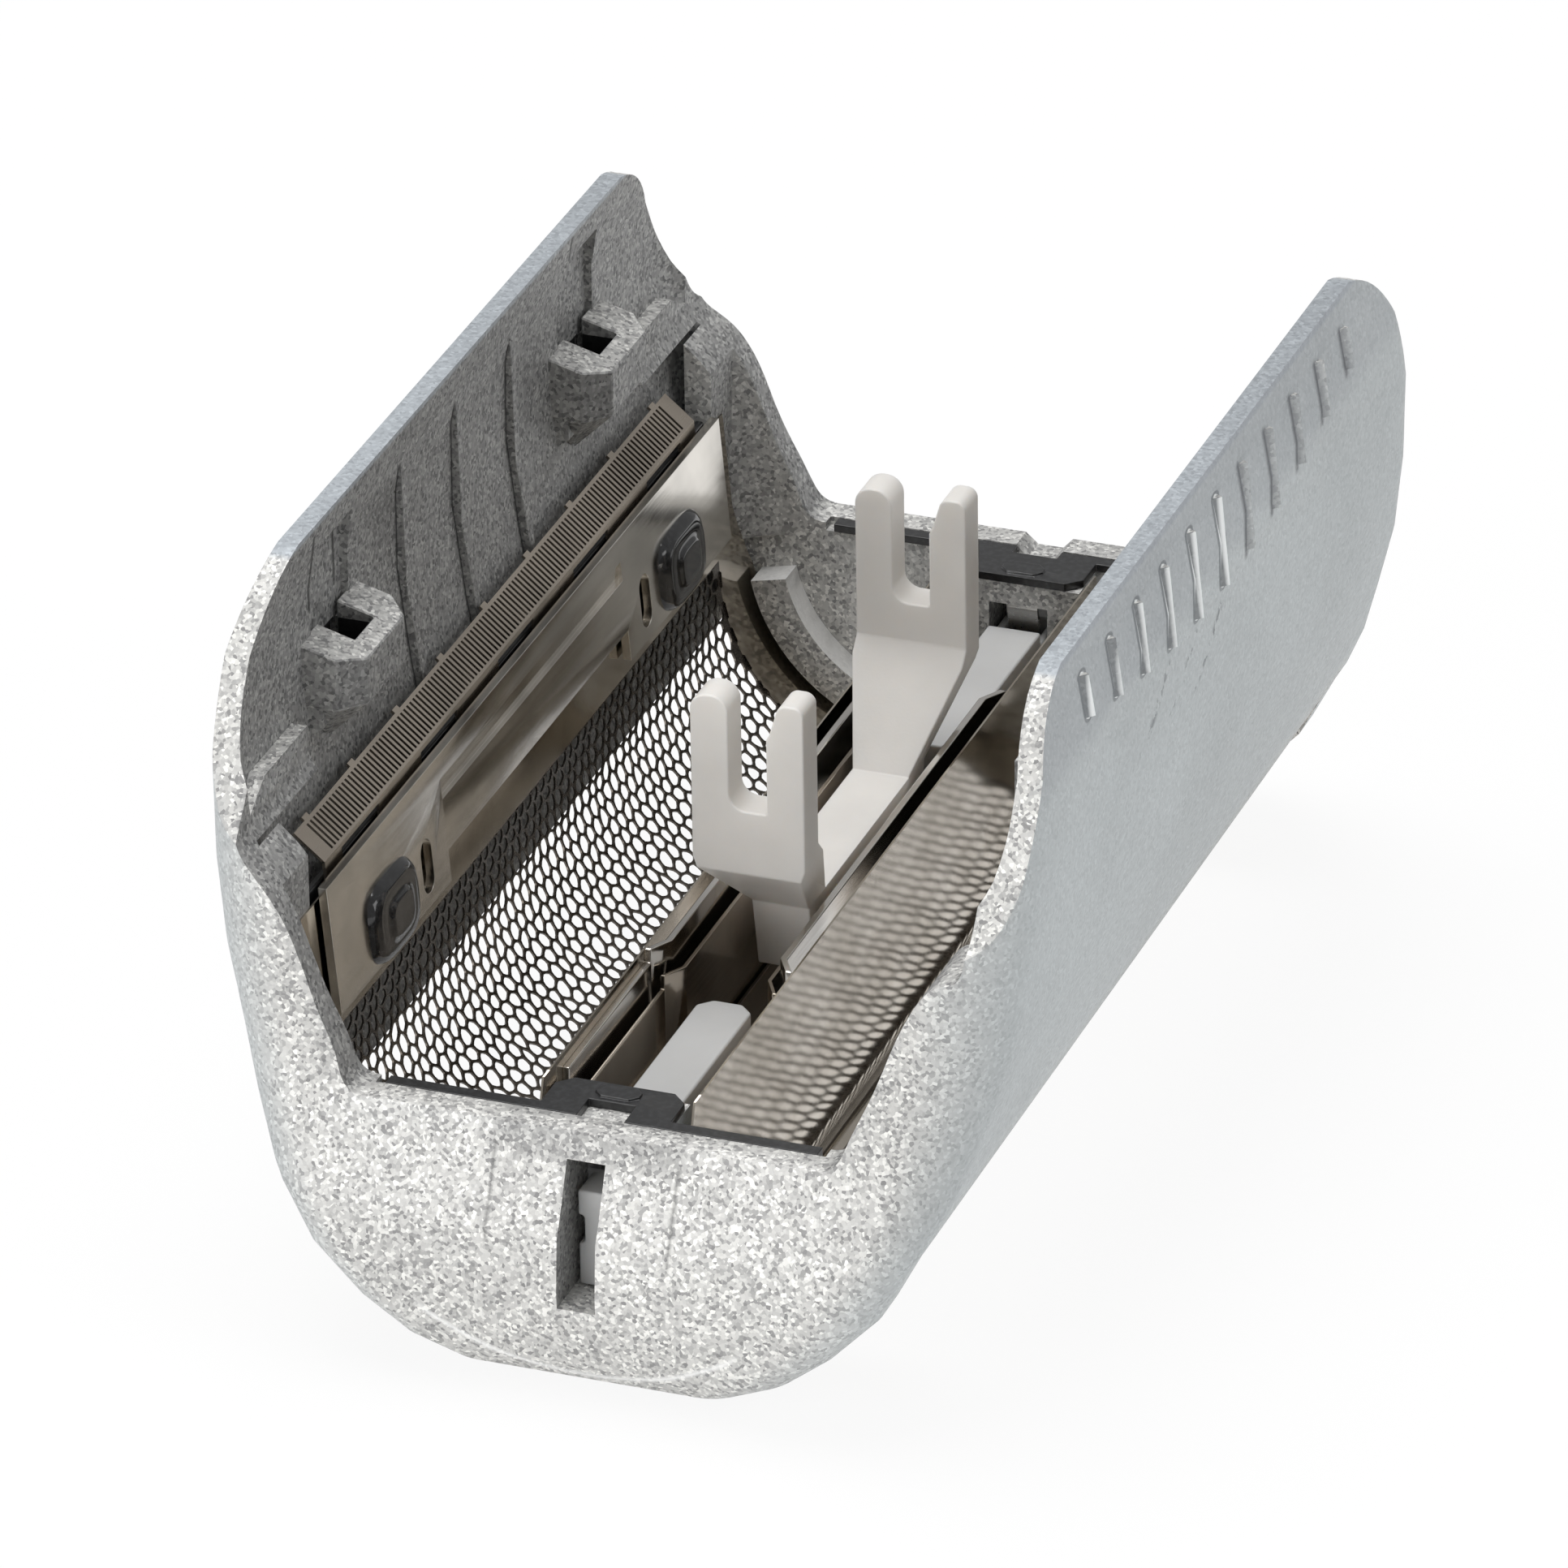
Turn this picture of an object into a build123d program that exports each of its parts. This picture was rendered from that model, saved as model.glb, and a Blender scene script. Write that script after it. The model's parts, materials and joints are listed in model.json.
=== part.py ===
from build123d import *
from math import cos, radians, sin, tan
import os

# Shaver foil head, seen with its open side up and its foils down.
# X runs across the head, Y along the foils, Z up. The origin is the bottom centre.
# All sizes are in millimetres.

# Foils: a wide outer arc, a tight inner bend and two upright walls
foil_thickness = 0.1
foil_bend_radius = 0.85
foil_crown_height = 1.4
foil_end_gap = 0.1
foil_upper_inset = 1.3
foil_wall_lean = 5.0
foil_inner_wall_top = 9.15
foil_outer_wall_top = 13.3
foil_bevel = 1.3
hole_length = 2.9
hole_width = 1.2
hole_columns = 8
hole_rows = 3
hole_field_margin = 3.1
hole_field_start = 27.0
hole_field_end = 73.0

# Long-hair trimmer in the middle: slotted outer comb, slotted inner cutter
comb_width = 3.1
comb_sheet = 0.15
comb_end_gap = 1.2
comb_bottom = 0.9
comb_wall_top = 8.3
comb_end_drop = 0.5
comb_flare = 0.45
flare_length = 8.0
flare_run = 0.8
tooth_pitch = 1.3
tooth_gap = 0.6
tooth_rise = 1.3
cutter_gap = 0.06
cutter_sheet = 0.15
cutter_end_room = 4.1
cutter_rest_shift = 1.0
cutter_wall_height = 3.6
cutter_bead_width = 0.5
cutter_bead_height = 0.25
stroke = 1.0
float_travel = 0.8

# Strips that carry the foil edges
inner_strip_gap = 0.3
inner_strip_thickness = 0.25
inner_strip_height = 3.6
inner_strip_overhang = 0.2
strip_seat = 0.05
clamp_thickness = 0.3
clamp_bottom = 9.3
clamp_top = 13.8
clamp_end_inset = 0.2
clamp_groove_depth = 0.12
clamp_groove_width = 0.7
clamp_waist_depth = 1.1
clamp_waist_margin = 1.75
clamp_hole_spacing = 3.2
clamp_hole_length = 0.9
clamp_hole_height = 1.9
rail_thickness = 0.55
rail_bottom = 9.5
rail_top = 13.5
rail_end_gap = 2.5
stake_end_distance = 4.9
stake_height = 10.7
stake_head_length = 3.6
stake_head_height = 2.6
stake_head_thickness = 0.35
stake_shank_length = 2.0
stake_shank_height = 1.1
side_comb_sheet = 0.1
side_comb_leg = 2.0
side_comb_fold_height = 14.15
side_comb_flange = 1.35
side_comb_flange_slope = 40.0
side_comb_end_inset = 1.3
side_slot_pitch = 1.6
side_slot_width = 0.6
side_slot_length = 0.95
side_window_length = 3.2
side_window_height = 0.55
side_window_margin = 3.0
side_window_count = 5

# Outer frame: one moulding with two tall wings, two low ends and two end cheeks
frame_width = 27.8
frame_length = 47.2
rim_height = 9.0
wing_height = 24.1
wall_edge_drop = 2.0
wall_edge_thickness = 0.6
cheek_margin = 1.4
cheek_side_margin = 0.45
foil_clearance = 0.15
wall_room = 3.55
window_ledge = 0.4
end_wall_depth = 3.0
rim_side = 6.3
rim_curve = [(1.0, 1.0), (1.7, 2.6), (2.3, 4.2), (3.0, 5.8), (3.8, 6.8), (4.65, 8.2)]
wing_top_length = 28.8
shoulder_curve = [(1.5, -0.6), (2.7, -1.6), (3.9, -3.5), (4.9, -5.3), (6.2, -7.1), (7.8, -8.1), (10.9, -8.4)]
socket_position = 11.0
socket_length = 4.8
socket_reach = 1.8
socket_height = 1.4
socket_top = 19.3
pocket_length = 2.1
pocket_depth = 0.9
pocket_sink = 0.35
groove_width = 3.2
groove_depth = 0.25
groove_margin = 0.7
rib_pitch = 4.9
rib_width = 0.45
rib_proud = 0.2
rib_top_margin = 1.5
shelf_length = 5.9
shelf_top = 17.8
shelf_thickness = 1.5
shelf_reach = 1.5
post_depth = 2.3
crescent_thickness = 1.3
crescent_depth = 1.2
crescent_start = 12.0
crescent_end = 62.0
guide_block_half = 2.2
guide_block_depth = 1.8
guide_bottom = 2.6
guide_ledge = 0.8
guide_side_gap = 0.1
end_slot_width = 1.3
end_slot_bottom = 3.3
end_slot_top = 8.1
rim_notch_width = 1.8
rim_notch_foot = 0.9
rim_notch_depth = 0.45
ridge_radius = 0.24
ridge_count = 5

# Black cap plates that close the guides at both ends
cap_thickness = 0.3
cap_lip = 0.5
cap_lip_inset = 0.3
cap_half = 2.2
cap_notch_width = 1.6
near_cap_notch = 1.1
far_cap_notch = 0.5
cap_chamfer = 0.5
pip_length = 1.5
pip_width = 0.8
pip_height = 0.08

# White guide blocks, float springs and drive forks
bar_width = 1.9
bar_top = 7.2
bar_depth = 2.0
bar_overlap = 4.0
bar_chamfer = 0.45
arm_width = 1.0
arm_recess = 0.45
arm_waist = 0.2
guide_drop = 0.35
spring_sheet = 0.12
spring_width = 1.1
spring_reach = 1.0
spring_bend = 0.25
spring_well_depth = 3.0
spring_fit = 0.12
fork_width = 3.9
fork_thickness = 1.3
fork_bar_gap = 0.05
fork_top = 17.15
fork_slot_width = 1.3
fork_slot_bottom = 13.1
fork_shoulder = 11.2
stem_width = 2.0
stem_reach = 2.9
stem_knee = 8.3
beam_bottom = 5.7
post_half_length = 2.2
fork_tip_radius = 0.6
fork_lead_in = 0.45

# Places that follow from the sizes above
comb_half = comb_width / 2
strip_inner_x = comb_half + comb_flare + inner_strip_gap
foil_inner_x = strip_inner_x + inner_strip_thickness + strip_seat
foil_centre_x = foil_inner_x + foil_bend_radius
foil_radius = frame_width / 2 - wall_room - foil_centre_x
foil_centre_z = foil_crown_height + foil_radius
foil_outer_x = foil_centre_x + foil_radius
lean = tan(radians(foil_wall_lean))
wall_edge_height = foil_centre_z - wall_edge_drop
edge_half = foil_outer_x + wall_edge_thickness
belly_half = frame_width / 2
ledge_height = rim_height - cap_thickness
rim_flat = belly_half - rim_side
cap_lip_half = rim_flat - cap_lip_inset
end_wall_inner = frame_length / 2 - end_wall_depth
window_length = 2 * (end_wall_inner - window_ledge)
foil_length = 2 * (end_wall_inner - foil_end_gap)
foil_upper_length = foil_length - 2 * foil_upper_inset
hole_field_length = foil_length - 2 * hole_field_margin
shelf_start = end_wall_inner - shelf_length
post_start = end_wall_inner - post_depth
guide_block_start = end_wall_inner - guide_block_depth
comb_length = 2 * (guide_block_start - comb_end_gap)
flare_start = comb_length / 2 - flare_length
inner_strip_length = comb_length + 2 * inner_strip_overhang
cutter_length = comb_length - 2 * cutter_end_room
bar_tip = cutter_length / 2 - bar_overlap
fork_position = bar_tip - fork_bar_gap - stroke - fork_thickness / 2
stem_foot = fork_position - stem_reach
rail_length = 2 * (end_wall_inner - rail_end_gap)
clamp_length = rail_length - 2 * clamp_end_inset
side_comb_length = rail_length - 2 * side_comb_end_inset
side_window_pitch = (side_comb_length - 2 * side_window_margin) / (side_window_count - 1)
stake_position = rail_length / 2 - stake_end_distance
clamp_hole_position = stake_position - clamp_hole_spacing
clamp_waist_length = 2 * (clamp_hole_position - clamp_waist_margin)

# Fullness of the long walls from their lower edge to their top: share of the height,
# share of the bulge, inset of the end walls, wall thickness and corner radius
wall_form = [
    (0.0, 0.0, 0.5, wall_edge_thickness, 1.8),
    (0.1, 0.29, 1.25, 0.9, 2.0),
    (0.22, 0.53, 1.8, 1.15, 2.2),
    (0.36, 0.78, 2.05, 1.2, 2.6),
    (0.52, 0.92, 2.1, 1.15, 3.0),
    (0.7, 1.0, 2.3, 1.0, 3.4),
    (0.86, 0.94, 2.55, 0.85, 3.6),
    (1.0, 0.75, 2.9, 0.7, 3.6),
]
# Rounding of the cheeks under the end walls: angle round the foil's centre,
# inset of the end, corner radius and what the side gives up
cheek_form = [
    (0, 1.7, 1.4, 0.3),
    (18, 0.9, 1.6, 0.4),
    (31, 0.4, 1.8, 0.45),
    (44, 0.1, 1.9, 0.4),
    (58, 0.05, 1.9, 0.05),
    (72, 0.2, 1.8, -0.15),
]
cavity_corner = 2.4


def wall_x(z):
    """Outer face of a foil's outer wall at a height."""
    return foil_outer_x + (z - foil_centre_z) * lean


def both_sides(part):
    """The right-hand piece and its mirror image on the left."""
    return part, mirror(part, about=Plane.YZ)


def both_ends(part):
    """The far-end piece and its mirror image at the near end."""
    return part, mirror(part, about=Plane.XZ)


def along(face, length):
    """A section in the XZ plane carried along Y, centred on the origin."""
    return extrude(face, amount=length / 2, both=True)


def section(points):
    """A straight-sided face in the XZ plane."""
    return Plane.XZ * make_face(Polyline(*points, close=True))


def block(x0, x1, y0, y1, z0, z1):
    """A box between two corners."""
    size = (x1 - x0, y1 - y0, z1 - z0)
    return Pos((x0 + x1) / 2, (y0 + y1) / 2, (z0 + z1) / 2) * Box(*size)


def wall_levels():
    """Heights of the long wall's sections with its outer and inner half widths."""
    levels = []
    for share, bulge, end_inset, thickness, corner in wall_form:
        z = wall_edge_height + share * (wing_height - wall_edge_height)
        half = edge_half + bulge * (belly_half - edge_half)
        levels.append((z, half, frame_length / 2 - end_inset, half - thickness, corner))
    return levels


def wall_inner_x(z):
    """Inner face of the long wall at a height, between its sections."""
    levels = wall_levels()
    for low, high in zip(levels, levels[1:]):
        if z <= high[0]:
            share = (z - low[0]) / (high[0] - low[0])
            return low[3] + share * (high[3] - low[3])
    return levels[-1][3]


def wall_outer_x(z):
    """Outer face of the long wall at a height, between its sections."""
    levels = wall_levels()
    for low, high in zip(levels, levels[1:]):
        if z <= high[0]:
            share = (z - low[0]) / (high[0] - low[0])
            return low[1] + share * (high[1] - low[1])
    return levels[-1][1]


def frame_body():
    """The full outer form: a loft through rounded rectangles from the cheeks to the wing tops."""
    rounds = []
    for angle, end_inset, corner, trim in cheek_form:
        turn = radians(angle)
        z = foil_centre_z - (foil_radius + cheek_margin) * cos(turn)
        half = foil_centre_x + (foil_radius + cheek_side_margin) * sin(turn) - trim
        size = (2 * half, frame_length - 2 * end_inset)
        rounds.append(Pos(0, 0, z) * RectangleRounded(*size, corner))
    for z, half, half_length, inner, corner in wall_levels():
        rounds.append(Pos(0, 0, z) * RectangleRounded(2 * half, 2 * half_length, corner))
    return loft(rounds, ruled=True)


def frame_hollow():
    """The room inside the walls, with the window that the foils look out of."""
    levels = []
    for z, half, half_length, inner, corner in wall_levels():
        levels.append(Pos(0, 0, z) * RectangleRounded(2 * inner, 2 * end_wall_inner, cavity_corner))
    window = block(-frame_width, frame_width, -window_length / 2, window_length / 2,
                   -foil_radius, wall_edge_height)
    return loft(levels, ruled=True) + window


def end_cutout():
    """The low U between the wings, carried through both end walls."""
    right = [(rim_flat, rim_height)]
    right += [(rim_flat + dx, rim_height + dz) for dx, dz in rim_curve]
    left = [(-x, z) for x, z in reversed(right)]
    above = wing_height + rim_height
    line = Spline(*right, tangents=[(1, 0), (0, 1)])
    mirrored = Spline(*left, tangents=[(0, -1), (1, 0)])
    top = Polyline(right[-1], (right[-1][0], above), (left[0][0], above), left[0])
    base = Line(left[-1], right[0])
    face = make_face([line, top, mirrored, base])
    return along(Plane.XZ * face, 2 * frame_length)


def shoulder_cutout():
    """What is cut away past the rounded end shoulder of both wings, at the far end."""
    start = (wing_top_length / 2, wing_height)
    points = [start] + [(start[0] + dy, start[1] + dz) for dy, dz in shoulder_curve]
    curve = Spline(*points, tangents=[(1, -0.25), (1, 0)])
    last = points[-1]
    above = wing_height + rim_height
    rest = Polyline(last, (last[0], above), (start[0], above), start)
    face = Plane.YZ * make_face([curve, rest])
    return extrude(face, amount=frame_width, both=True)


def foil_pocket():
    """Room for the foil ends inside one cheek half, as a section carried along Y."""
    gap = foil_clearance
    top = wall_edge_height + wall_edge_drop
    inner = foil_inner_x - gap
    bend = foil_bend_radius + gap
    outer = foil_radius + gap
    low = foil_centre_z - outer
    path = [
        Line((inner, top), (inner, low + bend)),
        ThreePointArc((inner, low + bend),
                      (foil_centre_x - bend * sin(radians(45)), low + bend * (1 - sin(radians(45)))),
                      (foil_centre_x, low)),
        ThreePointArc((foil_centre_x, low),
                      (foil_centre_x + outer * sin(radians(45)), foil_centre_z - outer * cos(radians(45))),
                      (foil_centre_x + outer, foil_centre_z)),
        Line((foil_centre_x + outer, foil_centre_z), (inner, top)),
    ]
    return along(Plane.XZ * make_face(path), 2 * end_wall_inner)


def crescent():
    """Arc ledge on the end wall that backs the foil's end, far right."""
    outer = foil_radius - foil_thickness - foil_clearance
    inner = outer - crescent_thickness
    centre = (foil_centre_x, foil_centre_z)

    def at(radius, angle):
        turn = radians(angle)
        return centre[0] + radius * cos(turn), centre[1] - radius * sin(turn)

    middle = (crescent_start + crescent_end) / 2
    face = make_face([
        ThreePointArc(at(outer, crescent_start), at(outer, middle), at(outer, crescent_end)),
        Line(at(outer, crescent_end), at(inner, crescent_end)),
        ThreePointArc(at(inner, crescent_end), at(inner, middle), at(inner, crescent_start)),
        Line(at(inner, crescent_start), at(outer, crescent_start)),
    ])
    arc = Plane.XZ * face
    return Pos(0, end_wall_inner + strip_seat, 0) * extrude(arc, amount=crescent_depth)


def snap_socket(y):
    """Boss with a square pocket that a latch of the shaver snaps into, right wing."""
    face_x = wall_inner_x(socket_top)
    reach = face_x - socket_reach
    root = face_x + wall_edge_thickness
    low = socket_top - socket_height
    side = section([(root, socket_top), (reach, socket_top), (reach, low), (root, low - socket_reach)])
    boss = Pos(0, y, 0) * along(side, socket_length)
    return boss


def socket_cuts(y):
    """The pocket in a socket boss and the shallow lead-in groove above it, right wing."""
    face_x = wall_inner_x(socket_top)
    half = pocket_length / 2
    deep = socket_top - socket_height - socket_reach
    pocket = block(face_x - pocket_depth, face_x + pocket_sink, y - half, y + half, deep, socket_top)
    groove = block(face_x - groove_depth, face_x + groove_depth, y - groove_width / 2,
                   y + groove_width / 2, socket_top, wing_height - groove_margin)
    return pocket, groove


def wing_ribs():
    """Upright ribs inside the right wing: deep where they back the rail, thin above."""
    ribs = []
    for step in (-1, 0, 1):
        y = step * rib_pitch
        low = section([
            (wall_x(rail_bottom) + rail_thickness + strip_seat, rail_bottom),
            (wall_x(rail_top) + rail_thickness + strip_seat, rail_top),
            (wall_inner_x(rail_top) + wall_edge_thickness, rail_top),
            (wall_inner_x(rail_bottom) + wall_edge_thickness, rail_bottom),
        ])
        ribs.append(Pos(0, y, 0) * along(low, rib_width))
        top = wing_height - rib_top_margin
        middle = (rail_top + top) / 2
        high = section([
            (wall_inner_x(rail_top) - rib_proud, rail_top),
            (wall_inner_x(middle) - rib_proud, middle),
            (wall_inner_x(top), top),
            (wall_inner_x(top) + rib_proud, top),
            (wall_inner_x(middle) + rib_proud, middle),
            (wall_inner_x(rail_top) + rib_proud, rail_top),
        ])
        ribs.append(Pos(0, y, 0) * along(high, rib_width))
    return ribs


def corner_shelf():
    """Shelf and post in the far right corner, where the wing meets the end wall."""
    root = wall_inner_x(shelf_top) + wall_edge_thickness
    reach = wall_inner_x(shelf_top) - shelf_reach
    low = shelf_top - shelf_thickness
    end = end_wall_inner + strip_seat
    outline = [(shelf_start, low), (shelf_start, shelf_top), (post_start, shelf_top),
               (end, low + strip_seat), (end, low)]
    shelf_face = Plane.YZ * make_face(Polyline(*outline, close=True))
    shelf = extrude(Pos(reach, 0, 0) * shelf_face, amount=root - reach)
    post = block(wall_x(rail_top) + strip_seat, root, post_start, end, rail_bottom, low + strip_seat)
    return shelf + (post & block(0, wall_inner_x(rail_bottom) + wall_edge_thickness,
                                 post_start, end, rail_bottom, shelf_top))


def guide_block():
    """Upright block on the far end wall with the slot that the trimmer slides in."""
    solid = block(-guide_block_half, guide_block_half, guide_block_start,
                  end_wall_inner + strip_seat, guide_bottom, ledge_height)
    half = bar_width / 2 + guide_side_gap
    ledge_bottom = ledge_height - guide_ledge
    slot = block(-half, half, guide_block_start - strip_seat, end_wall_inner + strip_seat * 2,
                 guide_bottom - strip_seat, ledge_bottom)
    return solid - slot


def grip_ridges():
    """Short raised grip ridges under the top edge of the right wing's outer face."""
    ridges = []
    spacing = wing_top_length / (2 * ridge_count + 1)
    for step in range(-ridge_count, ridge_count + 1):
        y = step * spacing
        drop = 1.0 + 1.9 * cos(radians(80.0 * step / ridge_count))
        top = wing_height - 1.0
        low = top - drop
        start = Vector(wall_outer_x(top), y, top)
        end = Vector(wall_outer_x(low), y - drop * 0.15, low)
        path = Plane(origin=start, z_dir=end - start)
        ridges.append(extrude(path * RegularPolygon(ridge_radius, 4), amount=(end - start).length))
    return ridges


def outer_frame():
    body = frame_body()
    shell = body - frame_hollow()
    for pocket in both_sides(foil_pocket()):
        shell -= pocket
    shell -= block(-foil_inner_x, foil_inner_x, -end_wall_inner, end_wall_inner,
                   guide_bottom, wall_edge_height)
    right_side = wing_ribs()
    right_side += [snap_socket(-socket_position), snap_socket(socket_position)]
    right_side += both_ends(corner_shelf())
    right_side += both_ends(crescent())
    inside = Part() + both_ends(guide_block())
    for piece in right_side:
        inside += both_sides(piece)
    shell += inside & body
    shell -= end_cutout()
    shell -= both_ends(shoulder_cutout())
    shell -= block(-rim_flat, rim_flat, -end_wall_inner - cap_lip, end_wall_inner + cap_lip,
                   ledge_height, rim_height)
    for y in (-socket_position, socket_position):
        for cut in socket_cuts(y):
            shell -= both_sides(cut)
    slot = block(-end_slot_width / 2, end_slot_width / 2, end_wall_inner - strip_seat,
                 frame_length, end_slot_bottom, end_slot_top)
    shell -= both_ends(slot)
    shell -= rim_notch()
    for ridge in grip_ridges():
        shell += both_sides(ridge)
    return shell


def rim_notch():
    """Small dip in the far end wall's rim, over the slot."""
    low = rim_height - rim_notch_depth
    dip = section([
        (-rim_notch_width / 2, rim_height + strip_seat), (-rim_notch_foot / 2, low),
        (rim_notch_foot / 2, low), (rim_notch_width / 2, rim_height + strip_seat),
    ])
    return Pos(0, end_wall_inner + cap_lip - strip_seat, 0) * extrude(dip, amount=-frame_length)


def foil():
    """One foil: thin sheet bent to a trough, with rows of elongated holes."""
    def outline(inset):
        bend = foil_bend_radius - inset
        radius = foil_radius - inset
        inner = foil_centre_x - bend
        low = foil_centre_z - radius
        turn = radians(45)
        top_x = wall_x(foil_outer_wall_top) - inset
        return [
            Line((inner, foil_inner_wall_top), (inner, low + bend)),
            ThreePointArc((inner, low + bend),
                          (foil_centre_x - bend * sin(turn), low + bend * (1 - cos(turn))),
                          (foil_centre_x, low)),
            ThreePointArc((foil_centre_x, low),
                          (foil_centre_x + radius * sin(turn), foil_centre_z - radius * cos(turn)),
                          (foil_centre_x + radius, foil_centre_z)),
            Line((foil_centre_x + radius, foil_centre_z), (top_x, foil_outer_wall_top)),
        ]

    outside = outline(0)
    inside = outline(foil_thickness)
    ends = [
        Line(outside[0] @ 0, inside[0] @ 0),
        Line(outside[-1] @ 1, inside[-1] @ 1),
    ]
    sheet = along(Plane.XZ * make_face(outside + inside + ends), foil_length)
    shank = stake_shank()
    for y in (-stake_position, stake_position):
        sheet -= Pos(0, y, 0) * shank
    upper = foil_upper_length / 2
    corner = Plane.YZ * make_face(Polyline(
        (foil_length / 2, foil_centre_z - foil_bevel), (foil_length / 2, foil_outer_wall_top),
        (upper, foil_outer_wall_top), (upper, foil_centre_z + foil_bevel), close=True))
    bevel = extrude(Pos(foil_centre_x + foil_radius / 2, 0, 0) * corner, amount=foil_radius)
    sheet -= both_ends(bevel)
    return sheet - foil_holes()


def foil_holes():
    """Cutters for the staggered holes, each one radial to the foil's arc."""
    holes = []
    pitch = hole_field_length / hole_columns
    rise = (hole_field_end - hole_field_start) / (hole_rows - 1)
    diamond = make_face(Polyline(
        (-hole_length / 2, 0), (0, hole_width / 2), (hole_length / 2, 0), (0, -hole_width / 2), close=True))
    for row in range(hole_rows):
        angle = radians(hole_field_start + row * rise)
        out = Vector(cos(angle), 0, -sin(angle))
        origin = Vector(foil_centre_x, 0, foil_centre_z) + out * (foil_radius - foil_bend_radius)
        plane = Plane(origin=origin, x_dir=(0, 1, 0), z_dir=out)
        stagger = (row % 2) * 0.5 - 0.25
        for column in range(hole_columns):
            y = (column - (hole_columns - 1) / 2 + stagger) * pitch
            holes.append(extrude(plane * Pos(y, 0) * diamond, amount=2 * foil_bend_radius))
    return holes


def stake_plane():
    """Plane on the clamp strip's face, looking into the head, at a stake's height."""
    turn = radians(foil_wall_lean)
    inward = Vector(-cos(turn), 0, sin(turn))
    foot = Vector(wall_x(stake_height), 0, stake_height)
    return Plane(origin=foot + inward * (foil_thickness + clamp_thickness), x_dir=(0, 1, 0), z_dir=inward)


def stake_shank():
    """The post of a heat stake, from the rail through foil and clamp strip."""
    face = stake_plane() * Rectangle(stake_shank_length, stake_shank_height)
    return extrude(face, amount=-foil_thickness - clamp_thickness - 2 * strip_seat)


def clamp_strip():
    """Polished strip that clamps the foil's outer wall to the rail."""
    outer = -foil_thickness / cos(radians(foil_wall_lean))
    inner = outer - clamp_thickness / cos(radians(foil_wall_lean))
    side = section([
        (wall_x(clamp_bottom) + outer, clamp_bottom),
        (wall_x(clamp_top) + outer, clamp_top),
        (wall_x(clamp_top) + inner, clamp_top),
        (wall_x(clamp_bottom) + inner, clamp_bottom),
    ])
    strip = along(side, clamp_length)
    waist = block(0, frame_width, -clamp_waist_length / 2, clamp_waist_length / 2,
                  clamp_bottom - clamp_waist_depth, clamp_bottom + clamp_waist_depth)
    strip -= waist
    middle = (stake_height + clamp_top) / 2 + clamp_groove_width / 2
    groove_x = wall_x(middle) + inner
    groove = block(groove_x - clamp_thickness, groove_x + clamp_groove_depth,
                   -clamp_waist_length / 2, clamp_waist_length / 2,
                   middle - clamp_groove_width / 2, middle + clamp_groove_width / 2)
    strip -= groove
    shank = stake_shank()
    for y in (-stake_position, stake_position):
        strip -= Pos(0, y, 0) * shank
    hole_face = Plane(origin=(0, 0, stake_height), x_dir=(0, 0, 1), z_dir=(1, 0, 0))
    hole = extrude(hole_face * SlotOverall(clamp_hole_height, clamp_hole_length), amount=frame_width)
    for y in (-clamp_hole_position, clamp_hole_position):
        strip -= Pos(0, y, 0) * hole
    return strip


def foil_rail():
    """Black rail behind the foil's outer wall, with two heat stakes headed over the strip."""
    seat = strip_seat
    recess_bottom = side_comb_fold_height - side_comb_leg - strip_seat
    recess = side_comb_sheet + 2 * strip_seat
    side = section([
        (wall_x(rail_bottom) + seat, rail_bottom),
        (wall_x(recess_bottom) + seat, recess_bottom),
        (wall_x(recess_bottom) + seat + recess, recess_bottom),
        (wall_x(rail_top) + seat + recess, rail_top),
        (wall_x(rail_top) + rail_thickness, rail_top),
        (wall_x(rail_bottom) + rail_thickness, rail_bottom),
    ])
    rail = along(side, rail_length)
    plane = stake_plane()
    half = stake_head_height / 2
    foot = RectangleRounded(stake_head_length, stake_head_height, half - stake_head_thickness / 2)
    crown = RectangleRounded(stake_head_length - stake_head_thickness, stake_head_height - stake_head_thickness,
                             half - stake_head_thickness)
    head = loft([plane * foot, plane.offset(stake_head_thickness) * crown])
    stake = head + stake_shank()
    for y in (-stake_position, stake_position):
        rail += Pos(0, y, 0) * stake
    return rail


def side_comb():
    """Thin slotted strip, folded over the rail between the foil and the wing."""
    gap = strip_seat
    fold = (wall_x(side_comb_fold_height) + gap, side_comb_fold_height)
    foot_z = side_comb_fold_height - side_comb_leg
    slope = radians(side_comb_flange_slope)
    tip = (fold[0] + side_comb_flange * cos(slope), fold[1] + side_comb_flange * sin(slope))
    normal = (side_comb_sheet * sin(slope), -side_comb_sheet * cos(slope))
    side = section([
        (wall_x(foot_z) + gap, foot_z),
        fold,
        tip,
        (tip[0] + normal[0], tip[1] + normal[1]),
        (fold[0] + side_comb_sheet, fold[1] + normal[1] / 2),
        (wall_x(foot_z) + gap + side_comb_sheet, foot_z),
    ])
    comb = along(side, side_comb_length)
    plane = Plane(origin=(fold[0], 0, fold[1]), x_dir=(cos(slope), 0, sin(slope)), z_dir=(-sin(slope), 0, cos(slope)))
    slot = plane * Pos(side_comb_flange / 2, 0) * Rectangle(side_slot_length, side_slot_width)
    cutter = extrude(slot, amount=side_comb_sheet * 4, both=True)
    count = int((side_comb_length - 2 * side_slot_pitch) / side_slot_pitch)
    cuts = []
    for step in range(count):
        cuts.append(Pos(0, (step - (count - 1) / 2) * side_slot_pitch, 0) * cutter)
    comb -= cuts
    windows = []
    for step in range(side_window_count):
        y = (step - (side_window_count - 1) / 2) * side_window_pitch
        windows.append(block(fold[0] - gap * 4, fold[0] + side_comb_sheet * 2,
                             y - side_window_length / 2, y + side_window_length / 2,
                             side_comb_fold_height - side_window_height - 3 * gap,
                             side_comb_fold_height - 3 * gap))
    return comb - windows


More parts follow.
